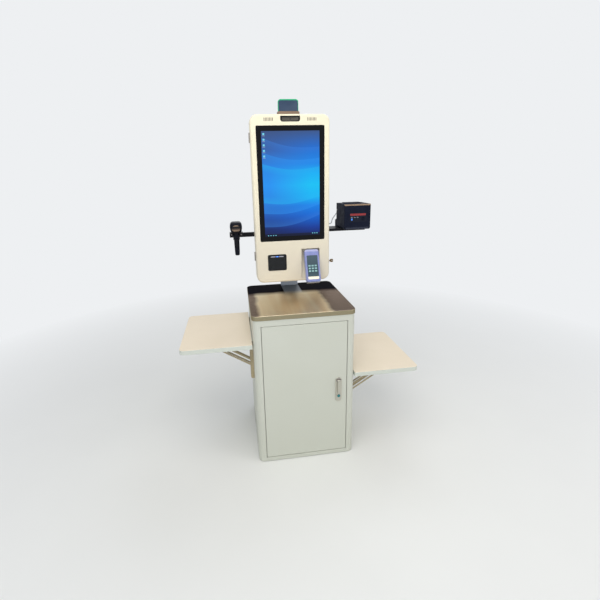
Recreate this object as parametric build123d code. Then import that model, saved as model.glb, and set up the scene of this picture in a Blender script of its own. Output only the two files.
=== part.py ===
from build123d import *
import os
from math import asin, cos, degrees, pi, radians, sin, sqrt, tan

# Self checkout kiosk: a cabinet with a door and two folding side shelves, a post, and a tall
# touch screen head with a payment terminal, a hand scanner, a receipt printer and a beacon.
# Millimetres, +Z up, +X to the customer's right, the front faces -Y. The origin is on the
# floor under the middle of the cabinet.

# Cabinet
cabinet_width = 506.0
cabinet_depth = 532.0
cabinet_top = 797.0
cabinet_corner = 28.0
sheet = 1.5
rim_width = 18.0
foot_height = 3.0
foot_radius = 20.0
foot_inset = 50.0

# Door in the cabinet's front
door_width = 424.0
door_bottom = 27.0
door_height = 736.0
door_depth = 18.0
door_gap = 2.5
door_edge = 2.0
frame_margin = 14.0
frame_side_margin = 10.0
stop_lip = 12.0
stop_thickness = 2.0
hinge_inset = 4.0
hinge_setback = 4.2
hinge_pin_radius = 1.8

# Swing handle lock on the door
lock_x = 169.0
lock_z = 390.5
lock_width = 34.0
lock_length = 137.0
lock_plate_depth = 3.5
spindle_radius = 13.0
spindle_z = 445.0
lever_width = 14.0
lever_depth = 7.2
lever_end_z = 370.0
lock_button_radius = 8.0
lock_button_z = 357.0
lock_button_travel = 3.0
cam_length = 45.0
cam_width = 16.0

# Worktop
worktop_overhang = 3.0
worktop_depth = 23.0
worktop_sheet = 1.5
worktop_edge = 3.0

# Post behind the head
post_width = 100.0
post_depth = 33.0
post_wall = 3.0
post_bottom = 560.0
post_top = 1500.0
post_bolt_radius = 4.0

# Head
head_width = 404.0
head_height = 859.0
head_bottom = 890.0
head_front = 58.0
head_corner = 38.0
head_edge = 10.0
cover_depth = 42.5
cover_wall = 3.0
housing_depth = 45.0
housing_wall = 2.0
housing_chamfer = 10.0
head_parting = 0.5

# Display and its glass
glass_width = 348.0
glass_height = 578.0
glass_bottom = 1118.0
glass_corner = 6.0
glass_thickness = 3.0
panel_width = 310.0
panel_height = 541.0
panel_bottom = 1133.0
panel_depth = 16.0

# Front fittings of the head
camera_z = 1726.5
camera_width = 100.0
camera_height = 27.0
speaker_x = 109.5
speaker_z = 1724.5
speaker_slots = 7
slot_pitch = 7.0
slot_width = 3.0
slot_height = 16.0
scan_x = -88.0
scan_z = 1001.0
scan_width = 102.0
scan_height = 89.0
pocket_x = 96.0
pocket_width = 104.0
pocket_top = 1072.0
pocket_bottom = 900.0
pocket_depth = 41.0
pocket_foot_depth = 5.0
pocket_wall = 2.0

# Payment terminal and its holder
terminal_x = 101.0
terminal_width = 79.0
terminal_length = 180.0
terminal_depth = 34.0
terminal_tilt = 22.0
terminal_back_y = 21.0
terminal_back_z = 886.0
holder_width = 66.0
holder_length = 112.0
holder_gap = 0.4

# Key lock on the head's right side
key_y = 80.0
key_z = 991.0
key_barrel_radius = 8.0
key_plug_radius = 4.0

# Status beacon
beacon_width = 102.0
beacon_base_width = 114.0
beacon_base_height = 20.0
beacon_height = 57.0
beacon_plate_height = 45.0
beacon_y = 122.0

# Cross bar, scanner holder and printer tray
bar_end = -336.0
bar_inner_end = 195.0
bar_height = 24.0
bar_depth = 20.0
bar_wall = 2.0
bar_top = 1160.0
fork_x = -300.0
fork_y = 22.0
fork_top = 1180.0
fork_width = 68.0
fork_thickness = 15.0
tray_sheet = 3.0
tray_flange = 14.0

# Hand scanner
grip_width = 27.0
grip_depth = 36.0
grip_bottom = 1050.0
scanner_head_width = 62.0
scanner_head_height = 54.0
scanner_head_length = 90.0
trigger_travel = 4.0

# Receipt printer
printer_x = 356.5
printer_width = 147.0
printer_front = 50.0
printer_depth = 166.0
printer_height = 135.0
printer_wall = 3.0
lid_height = 38.0
tail_depth = 28.0
tail_height = 42.0
roll_width = 79.0
roll_radius = 36.0
roll_bore = 6.5
feed_button_radius = 6.5
feed_button_travel = 2.0

# Side shelves and their folding brackets
shelf_reach = 347.0
shelf_depth = 470.0
shelf_middle_y = -24.0
shelf_thickness = 22.0
shelf_corner = 25.0
shelf_wall_gap = 5.0
left_shelf_top = 673.0
right_shelf_top = 471.0
bracket_y = 172.0
bracket_sheet = 2.0
pivot_out = 10.0
pivot_drop = 10.0
pivot_radius = 2.2
rail_length = 192.0
rail_half_width = 15.0
brace_pivot_drop = 112.0
brace_reach = 178.0
stay_rise = 28.0
brace_height = 8.0
brace_link_share = 0.8
cross_pin_radius = 2.0
arm_length = 330.0
arm_height = 18.0

# Running clearances
running_gap = 0.05
seat_gap = 0.3

# Inner shelf
inner_shelf_z = 520.0
inner_shelf_flange = 18.0


def block(x0, x1, y0, y1, z0, z1):
    middle = Pos((x0 + x1) / 2, (y0 + y1) / 2, (z0 + z1) / 2)
    return middle * Box(x1 - x0, y1 - y0, z1 - z0)


def along_z(sketch, z0, z1):
    return Pos(0, 0, z0) * extrude(sketch, amount=z1 - z0, dir=(0, 0, 1))


def along_y(sketch, y0, y1):
    # The sketch is drawn in X and Z.
    return Pos(0, y0, 0) * extrude(Plane.XZ * sketch, amount=y1 - y0, dir=(0, 1, 0))


def along_x(sketch, x0, x1):
    # The sketch is drawn in Y and Z.
    return Pos(x0, 0, 0) * extrude(Plane.YZ * sketch, amount=x1 - x0, dir=(1, 0, 0))


def rod_x(y, z, radius, x0, x1):
    return along_x(Pos(y, z) * Circle(radius), x0, x1)


def rod_y(x, z, radius, y0, y1):
    return along_y(Pos(x, z) * Circle(radius), y0, y1)


def rod_z(x, y, radius, z0, z1):
    return along_z(Pos(x, y) * Circle(radius), z0, z1)


def front_edges(solid):
    return solid.faces().sort_by(Axis.Y)[0].edges()


def rear_edges(solid):
    return solid.faces().sort_by(Axis.Y)[-1].edges()


def top_edges(solid):
    return solid.faces().sort_by(Axis.Z)[-1].edges()


parts = {}

# ---- cabinet ----
front_y = -cabinet_depth / 2
rear_y = cabinet_depth / 2
side_x = cabinet_width / 2
inner_side_x = side_x - sheet
inner_rear_y = rear_y - sheet
shell_bottom = foot_height
door_top = door_bottom + door_height
opening_half = door_width / 2 + door_gap
opening_bottom = door_bottom - door_gap
opening_top = door_top + door_gap
post_rear = inner_rear_y - seat_gap
post_y = post_rear - post_depth / 2
post_front = post_rear - post_depth


def shell_outline(inset):
    return RectangleRounded(
        cabinet_width - 2 * inset, cabinet_depth - 2 * inset, max(cabinet_corner - inset, 4.0)
    )


shell = along_z(shell_outline(0), shell_bottom, cabinet_top)
shell -= along_z(shell_outline(sheet), shell_bottom + sheet, cabinet_top - sheet)
shell -= along_z(shell_outline(rim_width), shell_bottom - 1, cabinet_top + 1)
shell -= block(
    -opening_half, opening_half, front_y - 1, front_y + sheet + 0.5, opening_bottom, opening_top,
)
# The post passes down through the rear rim.
shell -= block(
    -post_width / 2 - 1, post_width / 2 + 1, post_front - 1, inner_rear_y,
    cabinet_top - 20, cabinet_top + 1,
)
post_bolt_places = [(x, z) for x in (-25, 25) for z in (600, 740)]
for x, z in post_bolt_places:
    shell -= rod_y(x, z, post_bolt_radius + running_gap, inner_rear_y - 1, rear_y + 1)
# Two columns of cooling slots in the rear wall.
for column_x in (-120, 120):
    for row in range(6):
        slot = Pos(column_x, 640 - 14 * row) * SlotOverall(70, 5)
        shell -= along_y(slot, inner_rear_y - 1, rear_y + 1)
inlet_x = 140.0
inlet_z = 84.0
inlet_width = 28.0
inlet_height = 48.0
shell -= block(
    inlet_x - inlet_width / 2 - seat_gap, inlet_x + inlet_width / 2 + seat_gap, inner_rear_y - 1,
    rear_y + 1, inlet_z - inlet_height / 2 - seat_gap, inlet_z + inlet_height / 2 + seat_gap,
)
parts["cabinet_shell"] = shell

# The stop frame is welded behind the front wall and carries the door's two hinge pins.
frame_y0 = front_y + sheet
pocket_y1 = front_y + door_depth + 1
frame_y1 = pocket_y1 + stop_thickness
hinge_x = -door_width / 2 + hinge_inset
hinge_y = front_y + hinge_setback
stop_frame = block(
    -opening_half - frame_side_margin, opening_half + frame_side_margin, frame_y0, frame_y1,
    opening_bottom - frame_margin, opening_top + frame_margin,
)
stop_frame -= block(-opening_half, opening_half, frame_y0 - 1, pocket_y1, opening_bottom, opening_top)
stop_frame -= block(
    -opening_half + stop_lip, opening_half - stop_lip, frame_y0 - 1, frame_y1 + 1,
    opening_bottom + stop_lip, opening_top - stop_lip,
)
pin_reach = 13.0
lower_pin = rod_z(
    hinge_x, hinge_y, hinge_pin_radius, opening_bottom - pin_reach, door_bottom + pin_reach,
)
upper_pin = rod_z(hinge_x, hinge_y, hinge_pin_radius, door_top - pin_reach, opening_top + pin_reach)
pin_bore = hinge_pin_radius + running_gap
stop_frame -= rod_z(hinge_x, hinge_y, pin_bore, opening_bottom - frame_margin - 1, opening_bottom + 1)
stop_frame -= rod_z(hinge_x, hinge_y, pin_bore, opening_top - 1, opening_top + frame_margin + 1)
parts["door_frame"] = stop_frame

base_floor = shell_bottom + sheet
foot_places = [
    (x, y)
    for x in (foot_inset - side_x, side_x - foot_inset)
    for y in (foot_inset - rear_y, rear_y - foot_inset)
]
base = along_z(shell_outline(sheet + seat_gap), base_floor, base_floor + sheet)
for x, y in foot_places:
    base -= rod_z(x, y, 4.2, base_floor - 1, base_floor + sheet + 1)
parts["cabinet_base"] = base

feet = []
for x, y in foot_places:
    pad = rod_z(x, y, foot_radius, 0, base_floor)
    pad = fillet(pad.faces().sort_by(Axis.Z)[0].edges(), 1.0)
    stem = rod_z(x, y, 4.0, base_floor - 1, 32)
    nut = along_z(Pos(x, y) * RegularPolygon(7.5, 6), base_floor + sheet, base_floor + sheet + 6.5)
    feet.append(pad + stem + nut)
parts["glide_feet"] = Compound(children=feet)

# ---- worktop: a steel pan over a board ----
worktop_top = cabinet_top + worktop_depth


def worktop_outline(inset):
    return RectangleRounded(
        cabinet_width + 2 * (worktop_overhang - inset),
        cabinet_depth + 2 * (worktop_overhang - inset),
        cabinet_corner + worktop_overhang - inset,
    )


pan = along_z(worktop_outline(0), cabinet_top, worktop_top)
pan = fillet(top_edges(pan), worktop_edge)
pan -= along_z(worktop_outline(worktop_sheet), cabinet_top - 1, worktop_top - worktop_sheet)
core = along_z(worktop_outline(worktop_sheet + 0.2), cabinet_top, worktop_top - worktop_sheet)
core = fillet(top_edges(core), worktop_edge)
post_hole = block(
    -post_width / 2 - 0.5, post_width / 2 + 0.5, post_front - 0.5, post_rear + 0.3,
    cabinet_top - 1, worktop_top + 1,
)
parts["worktop_pan"] = pan - post_hole
parts["worktop_board"] = core - post_hole

# ---- inside the cabinet ----
inner_half_depth = cabinet_depth / 2 - cabinet_corner - 8
rail_plate = sheet
rails = []
for side in (-1, 1):
    wall = side * (inner_side_x - seat_gap)
    seat = block(
        min(wall, wall - side * 22), max(wall, wall - side * 22), -inner_half_depth,
        inner_half_depth, inner_shelf_z - rail_plate, inner_shelf_z,
    )
    web = block(
        min(wall, wall - side * rail_plate), max(wall, wall - side * rail_plate), -inner_half_depth,
        inner_half_depth, inner_shelf_z - 25, inner_shelf_z,
    )
    rails.append(seat + web)

tray_half = inner_side_x - 1.5
inner_shelf = block(
    -tray_half, tray_half, -inner_half_depth, inner_half_depth,
    inner_shelf_z, inner_shelf_z + sheet,
)
for y0 in (-inner_half_depth, inner_half_depth - sheet):
    inner_shelf += block(
        24 - tray_half, tray_half - 24, y0, y0 + sheet,
        inner_shelf_z - inner_shelf_flange, inner_shelf_z + sheet,
    )
parts["inner_shelf"] = Compound(children=[inner_shelf] + rails)

strip_z = 300.0
strip_face = inner_rear_y - 42
power_strip = block(-140, 140, strip_face, inner_rear_y - seat_gap, strip_z - 27, strip_z + 27)
power_strip = fillet(front_edges(power_strip), 4)
for socket_x in (-102, -51, 0, 51):
    power_strip -= rod_y(socket_x, strip_z, 19, strip_face - 1, strip_face + 14)

inlet = block(
    inlet_x - inlet_width / 2, inlet_x + inlet_width / 2, inner_rear_y - 26, rear_y + 1,
    inlet_z - inlet_height / 2, inlet_z + inlet_height / 2,
)
inlet += along_y(Pos(inlet_x, inlet_z) * RectangleRounded(50, 58, 5), rear_y, rear_y + 3)
inlet -= along_y(Pos(inlet_x, inlet_z + 9) * RectangleRounded(22, 15, 3), rear_y - 15, rear_y + 4)
parts["mains_fittings"] = Compound(children=[power_strip, inlet])

# ---- cabinet door and its lock ----
half_door = door_width / 2
door = block(-half_door, half_door, front_y, front_y + door_depth, door_bottom, door_top)
door = fillet(front_edges(door), door_edge)
door -= block(
    sheet - half_door, half_door - sheet, front_y + sheet, front_y + door_depth + 1,
    door_bottom + sheet, door_top - sheet,
)
hinge_block = 13.0
for z0 in (door_bottom + 0.5, door_top - 0.5 - hinge_block):
    door += block(
        0.5 - half_door, hinge_x + 8, front_y + 0.5, front_y + 12, z0, z0 + hinge_block
    )
# A stiffening channel runs down the middle of the door's inner face.
door += block(-30, 30, front_y + sheet - 0.2, front_y + 12, door_bottom + 60, door_top - 60) - block(
    sheet - 30, 30 - sheet, front_y + sheet, front_y + 12 - sheet, door_bottom, door_top
)
door -= rod_z(hinge_x, hinge_y, pin_bore, door_bottom - 1, door_bottom + pin_reach + 1)
door -= rod_z(hinge_x, hinge_y, pin_bore, door_top - pin_reach - 1, door_top + 1)
shaft_radius = 6.0
button_stem_radius = 4.0
door -= rod_y(lock_x, spindle_z, shaft_radius + 0.4, front_y - 1, front_y + 5)
door -= rod_y(lock_x, lock_button_z, button_stem_radius + 0.4, front_y - 1, front_y + 5)
parts["cabinet_door"] = door

plate_front = front_y - lock_plate_depth
lock_plate = along_y(
    Pos(lock_x, lock_z) * SlotOverall(lock_length, lock_width, rotation=90), plate_front, front_y
)
lock_plate = fillet(front_edges(lock_plate), 1.5)
button_collar = 2.5
lock_plate += rod_y(
    lock_x, lock_button_z, lock_button_radius + 0.3 + button_collar, plate_front - 4.5, front_y - 1
)
lock_plate -= rod_y(lock_x, lock_button_z, lock_button_radius + 0.3, plate_front - 5, plate_front)
lock_plate -= rod_y(lock_x, lock_button_z, button_stem_radius + 0.3, front_y - 6, front_y + 1)
lock_plate -= rod_y(lock_x, spindle_z, shaft_radius + running_gap, front_y - 6, front_y + 1)

case_y0 = front_y + sheet
case_y1 = frame_y1
lock_case = block(lock_x - 12, lock_x + 12, case_y0, case_y1, lock_button_z - 18, spindle_z + 14)
lock_case -= rod_y(lock_x, spindle_z, shaft_radius + running_gap, case_y0 - 1, case_y1 + 1)
lock_case -= rod_y(lock_x, lock_button_z, button_stem_radius + 0.3, case_y0 - 1, case_y1 + 1)
parts["door_lock"] = Compound(children=[lock_plate, lock_case])

disc_y1 = plate_front - seat_gap
disc_y0 = disc_y1 - 2.2
lever_back = disc_y0 - 0.3
lever_front = lever_back - lever_depth
lever_pin_y = lever_back - lever_depth / 2
ear_gap = 0.4
cam_y0 = case_y1 + 0.6
cam_y1 = cam_y0 + 3
spindle = rod_y(lock_x, spindle_z, spindle_radius, disc_y0, disc_y1)
spindle += rod_y(lock_x, spindle_z, shaft_radius, disc_y1 - 1, cam_y1 + 3)
lever_pin_radius = 1.5
for side in (-1, 1):
    ear_inner = lock_x + side * (lever_width / 2 + ear_gap)
    ear_outer = lock_x + side * (lever_width / 2 + ear_gap + 3)
    ear = Pos(lever_pin_y, spindle_z) * Circle(lever_depth / 2)
    ear += Pos((lever_pin_y + disc_y1) / 2, spindle_z) * Rectangle(
        abs(lever_pin_y - disc_y1), lever_depth,
    )
    spindle += along_x(ear, min(ear_inner, ear_outer), max(ear_inner, ear_outer))
pin_half = lever_width / 2 + ear_gap + 3
spindle -= rod_x(
    lever_pin_y, spindle_z, lever_pin_radius + 0.02, lock_x - pin_half - 1, lock_x + pin_half + 1,
)
lever_pin = rod_x(lever_pin_y, spindle_z, lever_pin_radius, lock_x - pin_half, lock_x + pin_half)

cam = along_y(
    Pos(lock_x, spindle_z + cam_length / 2) * SlotOverall(cam_length + cam_width, cam_width, rotation=90),
    cam_y0, cam_y1,
)
cam -= rod_y(lock_x, spindle_z, shaft_radius + 0.02, cam_y0 - 1, cam_y1 + 1)
parts["lock_spindle"] = Compound(children=[spindle, lever_pin, cam])

lever = block(
    lock_x - lever_width / 2, lock_x + lever_width / 2, lever_front, lever_back,
    lever_end_z, spindle_z,
)
lever = fillet(lever.edges().filter_by(Axis.Y).group_by(Axis.Z)[0], lever_width / 2 - 0.5)
lever = fillet(front_edges(lever), 1.5)
lever += rod_x(
    lever_pin_y, spindle_z, lever_depth / 2, lock_x - lever_width / 2, lock_x + lever_width / 2,
)
lever -= rod_x(lever_pin_y, spindle_z, lever_pin_radius + running_gap, lock_x - 20, lock_x + 20)
parts["lock_lever"] = lever

button_y1 = plate_front - lock_button_travel - 0.5
button = rod_y(lock_x, lock_button_z, lock_button_radius, button_y1 - 4, button_y1)
button = fillet(front_edges(button), 1.0)
button += rod_y(lock_x, lock_button_z, button_stem_radius, button_y1 - 1, case_y1 - 4)
parts["lock_button"] = button

# ---- post ----
post = along_z(Pos(0, post_y) * RectangleRounded(post_width, post_depth, 6), post_bottom, post_top)
post -= along_z(
    Pos(0, post_y) * RectangleRounded(post_width - 2 * post_wall, post_depth - 2 * post_wall, 3),
    post_bottom - 1, post_top - post_wall,
)
for x, z in post_bolt_places:
    post -= rod_y(x, z, post_bolt_radius + running_gap, post_rear - post_wall - 1, post_rear + 1)
post_bolts = []
for x, z in post_bolt_places:
    shank = rod_y(x, z, post_bolt_radius, post_rear - post_wall - 8, rear_y + 1)
    post_bolts.append(shank + rod_y(x, z, 7.5, rear_y, rear_y + 4.5))

# ---- head: housing on the post ----
head_top = head_bottom + head_height
head_z = (head_bottom + head_top) / 2
head_side = head_width / 2
cover_rear = head_front + cover_depth
housing_front = cover_rear + head_parting
housing_rear = housing_front + housing_depth


def head_outline(inset):
    return Pos(0, head_z) * RectangleRounded(
        head_width - 2 * inset, head_height - 2 * inset, head_corner - inset
    )


housing = along_y(head_outline(0), housing_front, housing_rear)
housing = chamfer(rear_edges(housing), housing_chamfer)
housing_hollow = along_y(head_outline(housing_wall), housing_front - 1, housing_rear - housing_wall)
housing_hollow = chamfer(rear_edges(housing_hollow), housing_chamfer - 0.8)
housing -= housing_hollow
housing_back_inner = housing_rear - housing_wall
for vent_x in (-90, 0, 90):
    for row in range(8):
        slot = Pos(vent_x, 1660 - 12 * row) * SlotOverall(60, 4)
        housing -= along_y(slot, housing_back_inner - 1, housing_rear + 1)

bracket_bottom = 1190.0
bracket_top = 1420.0
bracket_plate = 3.0
bracket_bolt_places = [(x, z) for x in (-32, 32) for z in (bracket_bottom + 25, bracket_top - 25)]
bar_bolt_places = [(-60, bar_top - bar_height / 2), (60, bar_top - bar_height / 2)]
for x, z in bracket_bolt_places + bar_bolt_places:
    housing -= rod_y(x, z, 3 + running_gap, housing_back_inner - 1, housing_rear + 1)

# The printer lead leaves through a gland in the housing's right side.
gland_y = housing_front + 20
gland_z = 1192.0
housing -= rod_x(gland_y, gland_z, 5.1, head_side - housing_wall - 1, head_side + 1)
parts["head_housing"] = housing

bracket = block(
    -post_width / 2 - bracket_plate - 0.3, post_width / 2 + bracket_plate + 0.3, housing_rear,
    housing_rear + bracket_plate, bracket_bottom, bracket_top,
)
for side in (-1, 1):
    near = side * (post_width / 2 + 0.3)
    far = side * (post_width / 2 + 0.3 + bracket_plate)
    bracket += block(
        min(near, far), max(near, far), housing_rear, post_y + 12, bracket_bottom, bracket_top
    )
bracket_side_bolts = [(post_y, z) for z in (bracket_bottom + 30, bracket_top - 30)]
for y, z in bracket_side_bolts:
    bracket -= rod_x(y, z, 4 + running_gap, -post_width, post_width)
    post -= rod_x(y, z, 4 + running_gap, -post_width, post_width)
for x, z in bracket_bolt_places:
    bracket -= rod_y(x, z, 3 + running_gap, housing_rear - 1, housing_rear + bracket_plate + 1)
parts["head_bracket"] = bracket
parts["post"] = post

bracket_bolts = []
for x, z in bracket_bolt_places:
    shank = rod_y(x, z, 3, housing_back_inner - 4, housing_rear + bracket_plate + 1)
    head_y = housing_rear + bracket_plate
    bracket_bolts.append(shank + rod_y(x, z, 5.5, head_y, head_y + 4))
for y, z in bracket_side_bolts:
    for side in (-1, 1):
        face = side * (post_width / 2 + 0.3 + bracket_plate)
        inner_end = side * (post_width / 2 - post_wall - 6)
        outer_end = face + side * 5
        shank = rod_x(y, z, 4, min(inner_end, face), max(inner_end, face))
        bracket_bolts.append(shank + rod_x(y, z, 7, min(face, outer_end), max(face, outer_end)))

board_back = housing_back_inner - 6
board = block(-160, 20, board_back - 1.6, board_back, 1450, 1620)
board += block(-120, -60, board_back - 22, board_back - 1, 1520, 1580)
board += block(-150, -134, board_back - 14, board_back - 1, 1460, 1600)
board += block(-40, 10, board_back - 12, board_back - 1, 1460, 1500)
for x in (-152, 12):
    for z in (1458, 1612):
        board += rod_y(x, z, 3, board_back - 1, housing_back_inner)

supply = block(-80, 80, housing_back_inner - 32, housing_back_inner - 1, 1258, 1356)
supply = fillet(supply.edges().filter_by(Axis.Z), 2)
for x in (-70, 70):
    supply += rod_y(x, 1268, 3, housing_back_inner - 2, housing_back_inner)
parts["head_electronics"] = Compound(children=[board, supply])

# ---- head: swinging front cover ----
cover = along_y(head_outline(0), head_front, cover_rear)
cover = fillet(front_edges(cover), head_edge)
cover_hollow = along_y(head_outline(cover_wall - 0.5), head_front + cover_wall, cover_rear + 1)
cover_hollow = fillet(front_edges(cover_hollow), head_edge - cover_wall)
cover -= cover_hollow
glass_z = glass_bottom + glass_height / 2
cover_inner = head_front + cover_wall
cover -= along_y(
    Pos(0, glass_z) * RectangleRounded(
        glass_width + 2 * seat_gap, glass_height + 2 * seat_gap, glass_corner + seat_gap
    ),
    head_front - 1, cover_inner + 1,
)
camera_corner = 12.0


def camera_outline(inset):
    # Square upper corners and large round lower ones.
    outline = Rectangle(camera_width - 2 * inset, camera_height - 2 * inset)
    lower = outline.vertices().group_by(Axis.Y)[0]
    return Pos(0, camera_z) * fillet(lower, camera_corner - inset)


def speaker_sketches(centre_x):
    first = centre_x - slot_pitch * (speaker_slots - 1) / 2
    return [
        Pos(first + slot_pitch * i, speaker_z) * SlotOverall(slot_height, slot_width, rotation=90)
        for i in range(speaker_slots)
    ]


cover -= along_y(camera_outline(0), head_front - 1, cover_inner + 1)
for side in (-1, 1):
    for sketch in speaker_sketches(side * speaker_x):
        cover -= along_y(sketch, head_front - 1, cover_inner + 1)
scan_centre = Pos(scan_x, scan_z)
cover -= along_y(
    scan_centre * RectangleRounded(scan_width - 6, scan_height - 6, 5), head_front - 1,
    cover_inner + 1,
)
pocket_left = pocket_x - pocket_width / 2
pocket_right = pocket_x + pocket_width / 2
cover -= block(pocket_left, pocket_right, head_front - 1, cover_inner + 1, pocket_bottom, pocket_top)
cover -= rod_x(key_y, key_z, key_barrel_radius + 0.1, head_side - cover_wall - 2, head_side + 1)
parts["head_cover"] = cover

glass_outline = Pos(0, glass_z) * RectangleRounded(glass_width, glass_height, glass_corner)
parts["touch_glass"] = along_y(glass_outline, head_front, head_front + glass_thickness)

panel_front = head_front + glass_thickness + 0.2
panel_rear = panel_front + panel_depth
panel = block(
    -panel_width / 2, panel_width / 2, panel_front, panel_rear,
    panel_bottom, panel_bottom + panel_height,
)
parts["display_panel"] = panel

frame_border = 14.0
display_frame = along_y(
    Pos(0, glass_z) * Rectangle(glass_width + 2 * frame_border, glass_height + 2 * frame_border),
    cover_inner, cover_inner + 2,
)
display_frame += along_y(
    Pos(0, glass_z) * Rectangle(glass_width - 4, glass_height - 4), cover_inner + 1, panel_rear + 2
)
display_frame -= block(
    -panel_width / 2 - seat_gap, panel_width / 2 + seat_gap, cover_inner - 1, panel_rear,
    panel_bottom - seat_gap, panel_bottom + panel_height + seat_gap,
)
display_frame -= along_y(
    Pos(0, glass_z) * Rectangle(glass_width - 60, glass_height - 60), cover_inner - 1, panel_rear + 3
)
parts["display_frame"] = display_frame

camera_plate = along_y(camera_outline(seat_gap), head_front + 0.6, head_front + 3.6)
lens_radius = 3.5
camera_plate -= rod_y(0, camera_z, lens_radius + 0.2, head_front - 1, head_front + 5)
camera_module = rod_y(0, camera_z, lens_radius, head_front + 1.2, head_front + 6)
camera_module += block(-45, 45, head_front + 3.6, head_front + 10, camera_z - 9, camera_z + 9)
parts["camera_bar"] = Compound(children=[camera_plate, camera_module])

speakers = []
for side in (-1, 1):
    can = block(
        side * speaker_x - 27, side * speaker_x + 27, cover_inner + seat_gap, cover_inner + 16,
        speaker_z - 11, speaker_z + 11,
    )
    speakers.append(fillet(can.edges().filter_by(Axis.Y), 5))
parts["speakers"] = Compound(children=speakers)

scan_rim = 5.0
scan_frame = along_y(
    scan_centre * RectangleRounded(scan_width, scan_height, 8), head_front - 1.8, head_front,
)
scan_frame = fillet(front_edges(scan_frame), 1.2)
scan_frame += along_y(
    scan_centre * RectangleRounded(scan_width - 7, scan_height - 7, 4.5), head_front - 1,
    cover_inner + 22,
)
scan_frame -= along_y(
    scan_centre * RectangleRounded(scan_width - 2 * scan_rim, scan_height - 2 * scan_rim, 3),
    head_front - 3, cover_inner + 20,
)
parts["scan_frame"] = scan_frame
scan_glass = along_y(
    scan_centre * RectangleRounded(scan_width - 2 * scan_rim - 0.4, scan_height - 2 * scan_rim - 0.4, 3),
    head_front - 0.6, head_front + 1.4,
)
parts["scan_glass"] = scan_glass
scan_led_z = scan_z + scan_height / 2 - scan_rim - 6
scan_light = block(
    scan_x - 38, scan_x + 38, head_front + 1.8, head_front + 5, scan_led_z - 2.5, scan_led_z + 2.5,
)
scan_engine = block(
    scan_x - 24, scan_x + 24, head_front + 9, cover_inner + 20, scan_z - 20, scan_z + 14,
)
scan_engine = fillet(front_edges(scan_engine), 3)
parts["scan_engine"] = Compound(children=[scan_engine, scan_light])

# The tub lines the sloping pocket that the payment terminal leans into.
tub_gap = seat_gap


def tub_profile(inset):
    return Polygon(
        (head_front + 0.2, pocket_bottom + tub_gap + inset),
        (head_front + pocket_foot_depth - inset, pocket_bottom + tub_gap + inset),
        (head_front + pocket_depth - inset, pocket_top - tub_gap - inset),
        (head_front + 0.2, pocket_top - tub_gap - inset),
    )


tub = along_x(tub_profile(0), pocket_left + tub_gap, pocket_right - tub_gap)
tub_cut = along_x(
    tub_profile(pocket_wall), pocket_left + tub_gap + pocket_wall, pocket_right - tub_gap - pocket_wall
)
parts["pocket_tub"] = tub - tub_cut - Pos(0, -1, 0) * tub_cut

# The terminal's own frame: up along its back, and out of its face.
tilt = radians(terminal_tilt)


def terminal_point(up, out):
    y = terminal_back_y + up * sin(tilt) - out * cos(tilt)
    z = terminal_back_z + up * cos(tilt) + out * sin(tilt)
    return (y, z)


terminal_plane = Plane(
    origin=(terminal_x, terminal_back_y, terminal_back_z),
    x_dir=(1, 0, 0),
    z_dir=(0, -cos(tilt), sin(tilt)),
)


def on_terminal(sketch, out0, out1):
    # The sketch is drawn across and up the terminal.
    return extrude(terminal_plane.offset(out0) * sketch, amount=out1 - out0)


case_outline = Pos(0, terminal_length / 2) * RectangleRounded(terminal_width, terminal_length, 13)
case = on_terminal(case_outline, 0, terminal_depth)
face_edges = case.faces().sort_by(Axis((0, 0, 0), (0, -cos(tilt), sin(tilt))))
case = fillet(face_edges[-1].edges() + face_edges[0].edges(), 5)
screen_width = 60.0
screen_length = 132.0
screen_low = 14.0
screen_outline = Pos(0, screen_low + screen_length / 2) * RectangleRounded(
    screen_width, screen_length, 5,
)
case -= on_terminal(screen_outline, terminal_depth - 3, terminal_depth + 1)
parts["terminal_case"] = case
screen_inner = Pos(0, screen_low + screen_length / 2) * RectangleRounded(
    screen_width - 0.6, screen_length - 0.6, 4.7
)
parts["terminal_screen"] = on_terminal(screen_inner, terminal_depth - 3, terminal_depth - 0.8)

slope = (pocket_depth - pocket_foot_depth) / (pocket_top - pocket_bottom)


def tub_floor_y(z):
    inner_low = pocket_bottom + tub_gap
    return head_front + pocket_foot_depth - pocket_wall + (z - inner_low) * slope - seat_gap - 0.6


holder_top = terminal_point(holder_length, -holder_gap)
holder_foot = terminal_point(-holder_gap, -holder_gap)
holder_seat = terminal_point(-holder_gap - 3, -holder_gap)
holder_body = Polygon(
    holder_foot,
    holder_seat,
    (head_front - seat_gap, holder_seat[1] + 9),
    (head_front - seat_gap, pocket_bottom + 4),
    (tub_floor_y(pocket_bottom + 6), pocket_bottom + 6),
    (tub_floor_y(holder_top[1]), holder_top[1]),
    holder_top,
)
holder_ledge = Polygon(
    terminal_point(-holder_gap, -holder_gap - 3),
    terminal_point(-holder_gap - 3, -holder_gap - 3),
    terminal_point(-holder_gap - 3, terminal_depth + 2),
    terminal_point(-holder_gap, terminal_depth + 2),
)
holder_x0 = terminal_x - holder_width / 2
holder_x1 = terminal_x + holder_width / 2
parts["terminal_holder"] = (
    along_x(holder_body, holder_x0, holder_x1) + along_x(holder_ledge, holder_x0, holder_x1)
)

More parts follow.
